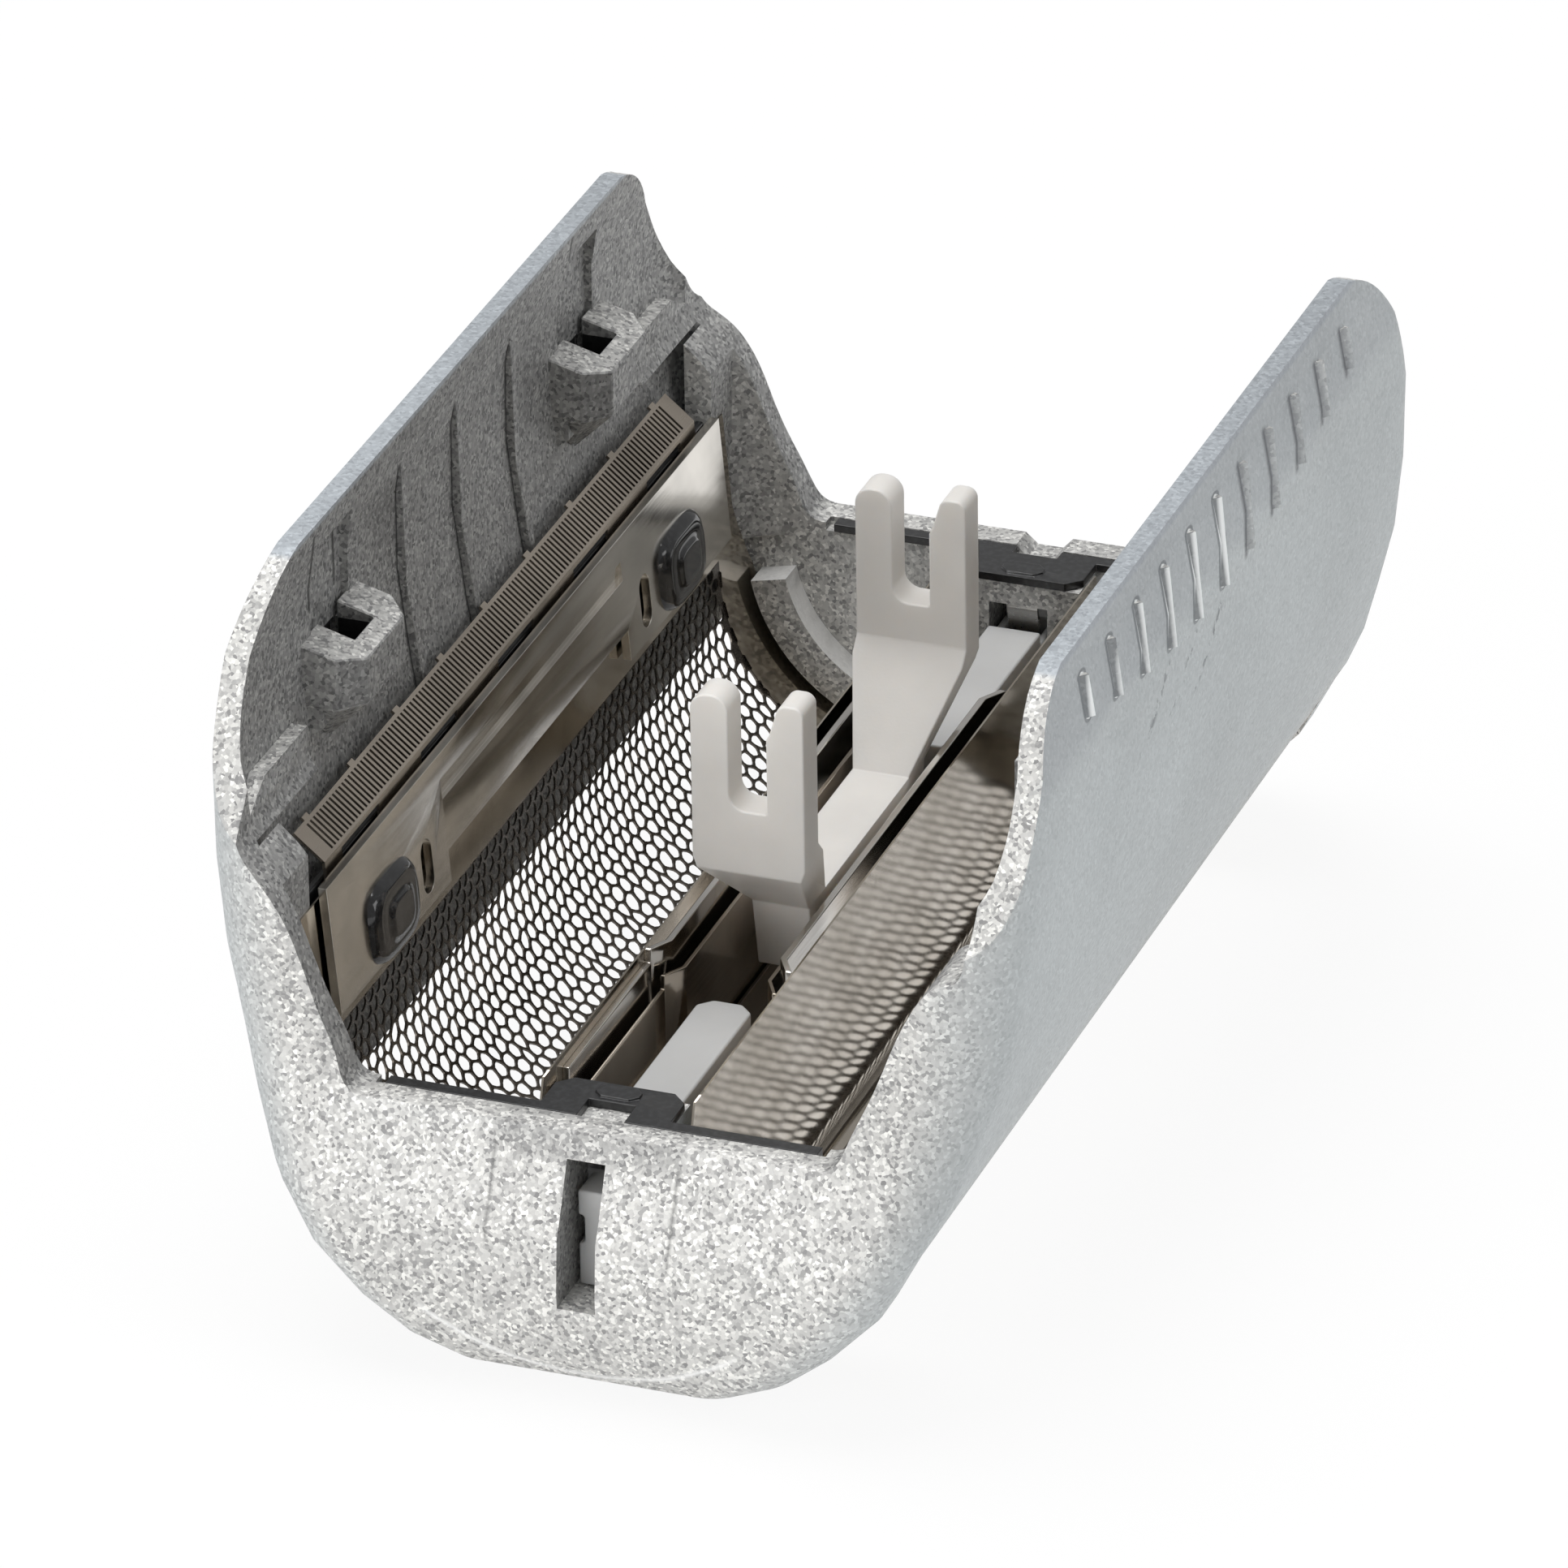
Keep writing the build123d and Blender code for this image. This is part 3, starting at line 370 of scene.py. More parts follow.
def silver_paint():
    """Coarse silver paint: random flakes that differ in tone and tilt, with painted shade
    inside the wings (where the surface faces the middle), a cooler painted shade on their
    outside and a painted cool sheen along their tops. Creases get painted shade and the curved
    ribs of the ends a painted highlight, and the drawn marks, the end walls' painted highlight
    arc and the painted shade in the latch pockets are laid over it in turn."""
    material, tree, shader = new_material("silver_paint")
    flakes = grain(tree, "cells", flakes_per_metre)
    speck = grain(tree, "noise", specks_per_metre, 3.0).outputs["Fac"]
    cloud = grain(tree, "noise", clouds_per_metre, 2.0).outputs["Fac"]
    source = tree.nodes.new("ShaderNodeTexCoord")
    where = tree.nodes.new("ShaderNodeSeparateXYZ")
    tree.links.new(source.outputs["Object"], where.inputs[0])
    facing = tree.nodes.new("ShaderNodeSeparateXYZ")
    tree.links.new(source.outputs["Normal"], facing.inputs[0])
    x, y, z = where.outputs["X"], where.outputs["Y"], where.outputs["Z"]
    wide = figure(tree, "ABSOLUTE", x)
    along = figure(tree, "ABSOLUTE", y)
    endward = figure(tree, "ABSOLUTE", facing.outputs["Y"])
    side = held(tree, product(tree, x, 1.0 / MM), -1.0, 1.0)
    outward = product(tree, side, facing.outputs["X"])
    outside = figure(tree, "MAXIMUM", outward, 0.0)
    inside = held(tree, product(tree, outward, -1.3))
    top = beyond(tree, z, top_band, 0.1)
    wall = product(tree, beyond(tree, wide, wall_inside, 0.3), beyond(tree, z, wall_foot, 1.0))
    # Painted shade in the creases of the walls towards the ends.
    crease = product(tree, wall, endward, before(tree, wide, wall_skin, 0.1),
                     before(tree, along, crease_reach, 0.2))
    # Painted light and shade: lighter where faces take the light, darker inside the wings, a
    # cooler shade outside and a cool sheen along the tops.
    tone = blend(tree, inside, silver_lit, silver_shade)
    tone = blend(tree, outside, tone, silver_cool_shade)
    tone = blend(tree, top, tone, silver_top_sheen)
    tone = blend(tree, product(tree, crease, 0.5), tone, crease_shade)

    split = tree.nodes.new("ShaderNodeSeparateColor")
    tree.links.new(flakes.outputs["Color"], split.inputs[0])
    flake_light, flake_gloss, flake_tilt = split.outputs[0], split.outputs[1], split.outputs[2]
    calm = figure(tree, "MAXIMUM", product(tree, outside, 0.82), product(tree, top, 0.6))
    flake_tone = blend(tree, without(tree, calm), (1.0, 1.0, 1.0),
                       ramp(tree, flake_light, flake_stops))
    tone = blend(tree, 1.0, tone, flake_tone, "MULTIPLY")
    tone = blend(tree, 1.0, tone, ramp(tree, cloud, cloud_stops), "MULTIPLY")

    # Painted highlight on the upward faces of the curved ribs at the ends.
    ribs = product(tree, beyond(tree, along, rib_from, 0.1), before(tree, along, rib_to, 0.05),
                   before(tree, z, end_rim, 0.2), past(tree, facing.outputs["Z"], 0.1, 0.2))
    arc, panel, shadow = end_marks(tree, x, z, wide, along, endward)
    marks = [(product(tree, ribs, 0.8), rib_highlight)]
    marks += wall_marks(tree, x, y, z, inside, outside, wall, speck)
    # The end walls' painted highlight arc, the panel's edges, the painted shadow under the rim
    # and painted shade in the latch pockets.
    marks += [(arc, arc_highlight), (panel, panel_dark),
              (shadow, blend(tree, 1.0, shadow_dark, flake_tone, "MULTIPLY")),
              (product(tree, pocket_share(tree, z, wide, along), 0.97), pocket_shade)]
    for share, colour in marks:
        tone = blend(tree, share, tone, colour)
    tree.links.new(tone, shader.inputs["Base Color"])
    shader.inputs["Metallic"].default_value = 0.25
    rough = figure(tree, "ADD", product(tree, flake_gloss, 0.22), 0.46)
    tree.links.new(rough, shader.inputs["Roughness"])
    shader.inputs["Coat Weight"].default_value = 0.04
    shader.inputs["Coat Roughness"].default_value = 0.25
    raise_by(tree, shader, figure(tree, "ADD", flake_tilt, speck), paint_relief * MM, 0.5)
    return material


silver = silver_paint()
frame_shell = merged_copy("outer_frame", "silver_frame", frame_edge_round)
frame_shell.data.materials.append(silver)


def latch_seat(name, sign, y_middle):
    """The collar round a latch pocket: a C-shaped plate whose top slopes down to the
    middle, z = h - k a at the distance a from the wing, over a wedge that runs back into
    the wing below it."""
    skin = bmesh.new()

    def ring(outline, level):
        return [skin.verts.new((sign * (seat_face - a) * MM, (y_middle + b) * MM, level(a) * MM))
                for a, b in outline]

    def wrap(upper, lower):
        for k in range(len(upper)):
            n = (k + 1) % len(upper)
            skin.faces.new((upper[k], upper[n], lower[n], lower[k]))

    top = ring(seat_collar, lambda a: seat_height - seat_slope * a)
    low = ring(seat_collar, lambda a: seat_under)
    lid = ring(seat_collar[:seat_outside], lambda a: seat_under)
    root = ring(seat_foot, lambda a: seat_root)
    for upper, lower in ((top, low), (lid, root)):
        skin.faces.new(upper)
        skin.faces.new(lower[::-1])
        wrap(upper, lower)
    bmesh.ops.recalc_face_normals(skin, faces=skin.faces)
    mesh = bpy.data.meshes.new(name)
    skin.to_mesh(mesh)
    skin.free()
    piece = placed(name, mesh)
    rounding = piece.modifiers.new("edge_round", "BEVEL")
    rounding.width = seat_round * MM
    rounding.segments = 1
    rounding.limit_method = "ANGLE"
    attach(piece, "head")
    return piece


for side, sign in (("left", -1), ("right", 1)):
    for end, y_end in (("near", -1), ("far", 1)):
        seat = latch_seat(end + "_" + side + "_latch_seat", sign, y_end * pocket_middle)
        seat.data.materials.append(silver)

# Guide blocks. Two plain moulded blocks of greyish white plastic slide up and down in the
# frame's ends and carry the trimmer. A folded leaf spring stands on each of them.
cool_white = (0.53, 0.53, 0.525)
guide_round = 0.22


def moulded_plastic(name, colour, roughness):
    """Moulded plastic with a fine satin skin, slightly cloudy, that lets some light in."""
    material, tree, shader = new_material(name)
    cloud = grain(tree, "noise", 260.0, 4.0)
    skin = grain(tree, "noise", 9000.0, 2.0)
    light = tuple(min(1.0, c * 1.04) for c in colour)
    shade = tuple(c * 0.95 for c in colour)
    tree.links.new(ramp(tree, cloud.outputs["Fac"], [(0.35, shade), (0.65, light)]),
                   shader.inputs["Base Color"])
    shader.inputs["Roughness"].default_value = roughness
    shader.inputs["Subsurface Weight"].default_value = 0.25
    shader.inputs["Subsurface Radius"].default_value = (1.2 * MM, 1.0 * MM, 0.8 * MM)
    shader.inputs["Subsurface Scale"].default_value = 1.0
    shader.inputs["Specular IOR Level"].default_value = 0.4
    raise_by(tree, shader, skin.outputs["Fac"], 0.008 * MM, 0.5)
    return material


guide_plastic = moulded_plastic("guide_plastic", cool_white, 0.42)
for end in ("near", "far"):
    guide = merged_copy(end + "_guide_block", end + "_guide", guide_round)
    guide.data.materials.append(guide_plastic)

# Float springs. Folded leaves of thin spring steel that press the trimmer down, one in
# the well of each guide block, under the frame's ledge.


def polished_sheet(name, colour, roughness, streak_scale, streak_height):
    """Sheet steel with faint drawn lines along the head and a little stain."""
    material, tree, shader = new_material(name)
    place = tree.nodes.new("ShaderNodeTexCoord")
    stretch = tree.nodes.new("ShaderNodeMapping")
    stretch.inputs["Scale"].default_value = (1.0, 0.04, 1.0)
    tree.links.new(place.outputs["Object"], stretch.inputs["Vector"])
    streaks = tree.nodes.new("ShaderNodeTexNoise")
    streaks.inputs["Scale"].default_value = streak_scale
    streaks.inputs["Detail"].default_value = 4.0
    tree.links.new(stretch.outputs["Vector"], streaks.inputs["Vector"])
    stain = grain(tree, "noise", 240.0, 3.0)
    dark = tuple(c * 0.80 for c in colour)
    light = tuple(min(1.0, c * 1.08) for c in colour)
    tree.links.new(ramp(tree, stain.outputs["Fac"], [(0.35, dark), (0.62, light)]),
                   shader.inputs["Base Color"])
    shader.inputs["Metallic"].default_value = 1.0
    rough = figure(tree, "ADD", product(tree, streaks.outputs["Fac"], 0.14), roughness)
    tree.links.new(rough, shader.inputs["Roughness"])
    raise_by(tree, shader, streaks.outputs["Fac"], streak_height, 0.6)
    return material


spring_grey = (0.60, 0.59, 0.57)
spring_steel = polished_sheet("spring_steel", spring_grey, 0.22, 8000.0, 0.004 * MM)
for end in ("near", "far"):
    spring = merged_copy(end + "_float_spring", end + "_spring", 0.0)
    spring.data.materials.append(spring_steel)

# End caps. Flat glossy black plates glued over both ledges. They close the guides and
# show a narrow black lip along the rims, with a small raised oval in the middle.
cap_round = 0.05
black_plain = (0.012, 0.012, 0.013)
black_dusty = (0.035, 0.036, 0.038)


def gloss_black(name, roughness):
    """Black plastic with a hard gloss, a trace of dust and hair-fine wear."""
    material, tree, shader = new_material(name)
    dust = grain(tree, "noise", 5200.0, 5.0)
    wear = grain(tree, "noise", 500.0, 4.0)
    tree.links.new(ramp(tree, dust.outputs["Fac"], [(0.45, black_plain), (0.8, black_dusty)]),
                   shader.inputs["Base Color"])
    rough = figure(tree, "ADD", product(tree, wear.outputs["Fac"], 0.12), roughness)
    tree.links.new(rough, shader.inputs["Roughness"])
    shader.inputs["Coat Weight"].default_value = 0.3
    shader.inputs["Coat Roughness"].default_value = 0.12
    raise_by(tree, shader, wear.outputs["Fac"], 0.01 * MM, 0.3)
    return material


cap_black = gloss_black("cap_black", 0.26)
for end in ("near", "far"):
    cap = merged_copy(end + "_cap_plate", end + "_cap", cap_round)
    cap.data.materials.append(cap_black)

# Trimmer. A slotted outer comb of ground steel sheet stands between the foils. The inner
# cutter, a smaller channel, slides inside it, and both look golden brown where the
# polished walls mirror each other.
golden_brown = (0.52, 0.46, 0.39)
trimmer_round = 0.03
trimmer_steel = polished_sheet("trimmer_steel", golden_brown, 0.12, 6000.0, 0.005 * MM)
comb = merged_copy("trimmer_comb", "slotted_comb", trimmer_round)
comb.data.materials.append(trimmer_steel)
cutter = merged_copy("inner_cutter", "sliding_cutter", trimmer_round)
cutter.data.materials.append(trimmer_steel)

# Inner strips. Polished steel strips stand along the trimmer and hold the inner edges
# of both foils.
strip_light = (0.72, 0.69, 0.65)
strip_round = 0.05
strip_steel = polished_sheet("strip_steel", strip_light, 0.08, 5000.0, 0.004 * MM)
for side in ("left", "right"):
    strip = merged_copy(side + "_inner_strip", side + "_edge_strip", strip_round)
    strip.data.materials.append(strip_steel)

# Drive forks. One warm white moulding with two forks, moved to and fro by the shaver's
# drive, which engages between the rounded tines.
warm_white = (0.76, 0.735, 0.70)
fork_round = 0.24
fork_plastic = moulded_plastic("fork_plastic", warm_white, 0.38)
forks = merged_copy("drive_forks", "fork_moulding", fork_round, 3)
forks.data.materials.append(fork_plastic)

# Foils. Sheets of nickel under a tenth of a millimetre thick, electroformed with a fine
# irregular net of holes and bent into a trough: an upright inner wall, a tight bend, a
# wide quarter arc and a leaning outer wall. Borders and ends are plain.
nickel_dark = (0.46, 0.41, 0.34)
nickel_light = (0.60, 0.55, 0.48)
# The net's two tones are the same nickel made much darker: painted shade on the webs.
net_shade_dark = (0.075, 0.066, 0.056)
net_shade_light = (0.12, 0.105, 0.09)
arc_radius = 6.9
bend_radius = 0.85
arc_centre_x = 3.45
arc_centre_z = 8.3
inner_top = 9.15
outer_top = 13.3
wall_lean = math.tan(math.radians(5.0))
end_half = 20.5
upper_half = 19.2
bevel_from = 7.0
bevel_to = 9.6
border_rows = (0.5, 1.3)
net_start = -0.2
net_end = 11.1
net_half = 17.5
net_pitch = 0.64
net_row = 0.53
net_shuffle = 0.17
net_repeat = 5
web_width = 0.085
corner_draw = 0.72
middle_draw = 0.5
corner_ease = 0.95
plain_margin = 0.2
sheet_thickness = 0.07
quarter_arc = arc_radius * math.pi / 2
quarter_bend = bend_radius * math.pi / 2
foil_low = -(inner_top - (arc_centre_z - arc_radius) - bend_radius) - quarter_bend
foil_high = quarter_arc + outer_top - arc_centre_z


def foil_point(s):
    """Place (x, z) on the right foil's section at the distance s from its lowest line:
    s < 0 runs up the tight bend x = cx - b sin(q), z = cz - R + b - b cos(q), q = -s / b,
    s > 0 runs up the wide arc x = cx + R sin(t), z = cz - R cos(t), t = s / R, and past
    a quarter turn both go on as straight walls."""
    s = np.asarray(s, float)
    turn = np.clip(s / arc_radius, 0, np.pi / 2)
    tight = np.clip(-s / bend_radius, 0, np.pi / 2)
    over = np.maximum(0, s - quarter_arc)
    under = np.maximum(0, -s - quarter_bend)
    x = arc_centre_x + arc_radius * np.sin(turn) - bend_radius * np.sin(tight)
    x = x + over * wall_lean
    z = (arc_centre_z - arc_radius) + arc_radius * (1 - np.cos(turn)) \
        + bend_radius * (1 - np.cos(tight)) + over + under
    return x, z


def half_length(s):
    """Half length of the foil at s: full below, drawn in above the bevelled corner."""
    z = foil_point(s)[1]
    return np.interp(z, [bevel_from, bevel_to], [end_half, upper_half])


def grid_faces(rows, columns, start):
    """Quads of a rows x columns grid of points, numbered row by row from 'start'."""
    i, j = np.meshgrid(np.arange(rows - 1), np.arange(columns - 1), indexing="ij")
    a = (start + i * columns + j).ravel()
    return np.stack([a, a + 1, a + columns + 1, a + columns], 1)


def hashed(i, j, key):
    """An even spread of numbers from 0 to 1 that repeats exactly for the same i, j."""
    value = np.sin(i * 127.1 + j * 311.7 + key * 74.7) * 43758.5453
    return value - np.floor(value)


def net_cells():
    """The net's cells in (s, y). Seeds stand on a triangular lattice, shuffled by a
    repeating random step. A cell's corners are the middles of the six seed triangles
    round it. Gives cells x 6 x 2 corners."""
    rows = int(round((net_end - net_start) / net_row)) + 3
    columns = int(round(2 * net_half / net_pitch)) + 5
    i, j = np.meshgrid(np.arange(rows), np.arange(columns), indexing="ij")
    shuffle_s = (hashed(i, j % net_repeat, 1) - 0.5) * (2 * net_shuffle)
    shuffle_y = (hashed(i, j % net_repeat, 2) - 0.5) * (2 * net_shuffle)
    s = net_start + (i - 1) * net_row + shuffle_s
    y = (j - columns // 2 + 0.5 * (i % 2)) * net_pitch + shuffle_y
    seed = np.stack([s, y], -1)
    even = (i[:-1, :-1] % 2 == 0)[..., None]
    here, along, up, up_along = seed[:-1, :-1], seed[:-1, 1:], seed[1:, :-1], seed[1:, 1:]
    first = np.where(even, here + along + up, here + along + up_along) / 3
    second = np.where(even, up + up_along + along, up + up_along + here) / 3
    even_row = (np.arange(1, rows - 1) % 2 == 0)[:, None, None]

    def pick(tri, di, dj):
        return tri[1 + di:rows - 1 + di, 1 + dj:columns - 1 + dj]

    above = [pick(first, 0, 0),
             np.where(even_row, pick(second, 0, -1), pick(second, 0, 0)),
             pick(first, 0, -1)]
    below = [pick(second, -1, -1),
             np.where(even_row, pick(first, -1, -1), pick(first, -1, 0)),
             pick(second, -1, 0)]
    corners = np.stack(above + below, 2)
    return corners.reshape(-1, 6, 2)


def net_faces():
    """The net in (s, y): each cell is a ring of 12 quads between its outline and its hole,
    which is the outline drawn in by half a web. Cells at the rim stay closed, as fans."""
    corners = net_cells()
    keep = (corners[..., 0].max(1) > net_start) & (corners[..., 0].min(1) < net_end) \
        & (np.abs(corners[..., 1]).min(1) < net_half)
    corners = corners[keep]
    middles = (corners + np.roll(corners, -1, 1)) / 2
    outline = np.stack([corners, middles], 2).reshape(-1, 12, 2)
    outline[..., 0] = np.clip(outline[..., 0], net_start, net_end)
    outline[..., 1] = np.clip(outline[..., 1], -net_half, net_half)
    hub = corners.mean(1)
    at_corner = np.arange(12) % 2 == 0
    reach = np.linalg.norm(outline - hub[:, None], axis=2)
    draw = np.where(at_corner, corner_draw, middle_draw) * web_width
    share = 1 - np.clip(draw[None] / np.maximum(reach, 1e-3), 0, 0.9)
    share = np.where(at_corner, share * corner_ease, share)
    hole = hub[:, None] + (outline - hub[:, None]) * share[..., None]
    is_open = (hub[:, 0] > net_start + plain_margin) & (hub[:, 0] < net_end - plain_margin) \
        & (np.abs(hub[:, 1]) < net_half - plain_margin)
    count = len(outline)
    ring = np.arange(12)
    turn = (ring + 1) % 12
    base = (np.arange(count) * 12)[:, None]
    centre = np.broadcast_to(np.arange(count)[:, None] + count * 24, (count, 12))
    quads = np.stack([base + ring, base + turn, base + turn + count * 12,
                      base + ring + count * 12], 2)
    fans = np.stack([base + ring, base + turn, centre], 2)
    points = np.concatenate([outline.reshape(-1, 2), hole.reshape(-1, 2), hub])
    return points, quads[is_open].reshape(-1, 4), fans[~is_open].reshape(-1, 3)


def foil_sheet(name, side):
    """Perforated foil: the net in the middle of the sheet, plain grids joined on round it,
    both bent to the section by foil_point. The plain sheet has the nickel, the net a far darker
    copy of it that paints in shade."""
    net_points, net_quads, fans = net_faces()
    points = [net_points]
    faces = [net_quads]
    total = len(net_points)
    wall_rows = np.concatenate([np.linspace(foil_low, -quarter_bend, 3),
                                np.linspace(-quarter_bend, net_start, 9)[1:]])
    top_rows = np.array([net_end, *(net_end + row for row in border_rows), foil_high])
    for rows in (wall_rows, top_rows):
        t = np.linspace(-1, 1, 42)
        ss, tt = np.meshgrid(rows, t, indexing="ij")
        points.append(np.stack([ss, tt * half_length(ss)], -1).reshape(-1, 2))
        faces.append(grid_faces(len(rows), len(t), total))
        total += ss.size
    for end in (-1, 1):
        rows = np.linspace(net_start, net_end, 40)
        t = np.linspace(0, 1, 4)
        ss, tt = np.meshgrid(rows, t, indexing="ij")
        yy = end * (net_half + tt * (half_length(ss) - net_half))
        points.append(np.stack([ss, yy], -1).reshape(-1, 2))
        quad = grid_faces(len(rows), len(t), total)
        faces.append(quad if end > 0 else quad[:, ::-1])
        total += ss.size
    flat = np.concatenate(points)
    x, z = foil_point(flat[:, 0])
    verts = np.stack([side * x, flat[:, 1], z], 1) * MM
    quads = np.concatenate(faces)
    if side < 0:
        quads = quads[:, ::-1]
        fans = fans[:, ::-1]
    mesh = bpy.data.meshes.new(name)
    mesh.from_pydata(verts.tolist(), [], quads.tolist() + fans.tolist())
    in_net = np.zeros(len(mesh.polygons), dtype=np.int32)
    in_net[:len(net_quads)] = 1
    in_net[len(quads):] = 1
    mesh.materials.append(nickel)
    mesh.materials.append(net_nickel_shaded)
    mesh.polygons.foreach_set("material_index", in_net)
    skin = bmesh.new()
    skin.from_mesh(mesh)
    bmesh.ops.remove_doubles(skin, verts=skin.verts, dist=0.004 * MM)
    bmesh.ops.dissolve_degenerate(skin, edges=skin.edges, dist=0.001 * MM)
    loose = [v for v in skin.verts if not v.link_faces]
    bmesh.ops.delete(skin, geom=loose, context="VERTS")
    skin.to_mesh(mesh)
    skin.free()
    mesh.shade_smooth()
    edge_of_corner = np.empty(len(mesh.loops), dtype=np.int32)
    mesh.loops.foreach_get("edge_index", edge_of_corner)
    rim = np.bincount(edge_of_corner, minlength=len(mesh.edges)) < 2
    sharp = mesh.attributes.new("sharp_edge", "BOOLEAN", "EDGE")
    sharp.data.foreach_set("value", rim)
    piece = placed(name, mesh)
    wall = piece.modifiers.new("sheet", "SOLIDIFY")
    wall.thickness = sheet_thickness * MM
    wall.offset = 1.0
    wall.use_even_offset = False
    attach(piece, "head")
    return piece


def nickel_sheet(name, dark, light, roughness, metal, stains_per_metre):
    """Nickel: a warm brown metal between two tones in soft stains, with a fine skin."""
    material, tree, shader = new_material(name)
    stain = grain(tree, "noise", stains_per_metre, 4.0)
    fine = grain(tree, "noise", 14000.0, 2.0)
    tree.links.new(ramp(tree, stain.outputs["Fac"], [(0.35, dark), (0.65, light)]),
                   shader.inputs["Base Color"])
    shader.inputs["Metallic"].default_value = metal
    rough = figure(tree, "ADD", product(tree, fine.outputs["Fac"], roughness), roughness)
    tree.links.new(rough, shader.inputs["Roughness"])
    raise_by(tree, shader, fine.outputs["Fac"], 0.002 * MM, 0.3)
    return material


nickel = nickel_sheet("nickel_foil", nickel_dark, nickel_light, 0.07, 1.0, 300.0)
# The net's nickel is a far darker copy of the plain one, painted shade.
net_nickel_shaded = nickel_sheet("nickel_net_shaded", net_shade_dark, net_shade_light, 0.18, 0.8, 900.0)
for side, sign in (("left", -1), ("right", 1)):
    foil = foil_sheet(side + "_foil_net", sign)
    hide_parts(side + "_foil")

# Foil rails. Black plastic rails behind the foils' outer walls. Two posts on each reach
# through foil and clamp strip and are melted over to glossy rounded heads, which are
# pieces of their own here.
stake_black = gloss_black("stake_black", 0.05)
rail_round = 0.12
stake_y = 13.2
stake_z = 10.7
stake_proud = 0.40
stake_face_x = arc_centre_x + arc_radius + (stake_z - arc_centre_z) * wall_lean - stake_proud
stake_half_y = 1.92
stake_half_z = 1.40
stake_bulge = 0.50
stake_power = 3.6
dome_power = 12
dome_share = 0.74
pad_edge = 0.54
pad_soft = 0.12
head_rings = [0.0, 0.14, 0.28, 0.40, 0.44, 0.48, 0.54, 0.62, 0.72, 0.82, 0.90, 0.96, 0.99, 1.0]


def stake_head(name, sign, y_middle):
    """A melted head: a rounded square with |u|^p + |v|^p = r^p as its rings, r from 0 to 1.
    Most of its height is a full dome, 1 - r^12. The rest is a flat raised square in the
    middle, where the melting tool pressed, lifted by a smooth step at its edge."""
    turn = np.linspace(0, 2 * np.pi, 49)[:-1]
    ring = np.array(head_rings)
    power_sum = np.abs(np.cos(turn)) ** stake_power + np.abs(np.sin(turn)) ** stake_power
    spread = power_sum ** (-1 / stake_power)
    u = np.outer(ring, spread * np.cos(turn))
    v = np.outer(ring, spread * np.sin(turn))
    step = np.clip((pad_edge - ring) / pad_soft, 0, 1)
    step = step * step * (3 - 2 * step)
    dome = 1 - ring ** dome_power
    height = stake_bulge * (dome_share * dome + (1 - dome_share) * step)
    rise = np.broadcast_to(height[:, None], u.shape)
    y = y_middle + u * stake_half_y
    z = stake_z + v * stake_half_z
    x = stake_face_x + (z - stake_z) * wall_lean - rise
    verts = np.stack([sign * x, y, z], -1).reshape(-1, 3) * MM
    i, j = np.meshgrid(np.arange(len(ring) - 1), np.arange(len(turn)), indexing="ij")
    a = (i * len(turn) + j).ravel()
    b = (i * len(turn) + (j + 1) % len(turn)).ravel()
    faces = np.stack([a, b, b + len(turn), a + len(turn)], 1)
    mesh = bpy.data.meshes.new(name)
    mesh.from_pydata(verts.tolist(), [], faces.tolist())
    skin = bmesh.new()
    skin.from_mesh(mesh)
    bmesh.ops.remove_doubles(skin, verts=skin.verts, dist=0.001 * MM)
    rim = [e for e in skin.edges if e.is_boundary]
    bmesh.ops.contextual_create(skin, geom=rim)
    bmesh.ops.recalc_face_normals(skin, faces=skin.faces)
    skin.to_mesh(mesh)
    skin.free()
    mesh.shade_smooth()
    mesh.set_sharp_from_angle(angle=math.radians(60))
    piece = placed(name, mesh)
    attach(piece, "head")
    return piece


for side, sign in (("left", -1), ("right", 1)):
    rail = merged_copy(side + "_foil_rail", side + "_stake_rail", rail_round, 3)
    rail.data.materials.append(stake_black)
    for end, y_end in (("near", -1), ("far", 1)):
        head = stake_head(end + "_" + side + "_stake_head", sign, y_end * stake_y)
        head.data.materials.append(stake_black)

# Clamp strips. Polished steel strips with one long pressed groove and a narrow waist,
# held by the melted posts. They press the foils against the rails.
clamp_light = (0.70, 0.67, 0.62)
clamp_round = 0.06
clamp_steel = polished_sheet("clamp_steel", clamp_light, 0.10, 4000.0, 0.006 * MM)
for side in ("left", "right"):
    clamp = merged_copy(side + "_clamp_strip", side + "_clamp", clamp_round)
    clamp.data.materials.append(clamp_steel)

# Side combs. Thin steel strips hooked over the rails, with a slotted flange that leans
# out to the wings. They guide long hairs to the cutters.
fold_height = 14.15
flange_width = 1.35
flange_slope = math.radians(40.0)
comb_leg = 2.0
comb_half_length = 16.8
comb_sheet = 0.1
comb_gap = 0.05
slit_pitch = 0.27
slit_width = 0.13
slit_start = 0.10
slit_end = 1.22
slit_end_margin = 0.6
nub_count = 9
nub_pitch = 3.92
nub_width = 0.4
nub_reach = 0.14
window_count = 5
window_pitch = 6.9
window_half = 1.6
window_low = 13.45
window_high = 13.98


def boxes(low, high):
    """Boxes between low and high corners in (u, y, w), as 8 points and 6 quads each."""
    low = np.asarray(low, float)
    high = np.asarray(high, float)
    pick = np.array([[0, 0, 0], [1, 0, 0], [1, 1, 0], [0, 1, 0],
                     [0, 0, 1], [1, 0, 1], [1, 1, 1], [0, 1, 1]])
    points = np.where(pick[None] == 0, low[:, None], high[:, None])
    quad = np.array([[0, 3, 2, 1], [4, 5, 6, 7], [0, 1, 5, 4],
                     [1, 2, 6, 5], [2, 3, 7, 6], [3, 0, 4, 7]])
    faces = quad[None] + (np.arange(len(low)) * 8)[:, None, None]
    return points.reshape(-1, 3), faces.reshape(-1, 4)


def comb_wall_x(z):
    """Place of the leg's inner face at the height z: on the foil's leaning outer wall,
    a small gap away."""
    return arc_centre_x + arc_radius + (z - arc_centre_z) * wall_lean + comb_gap


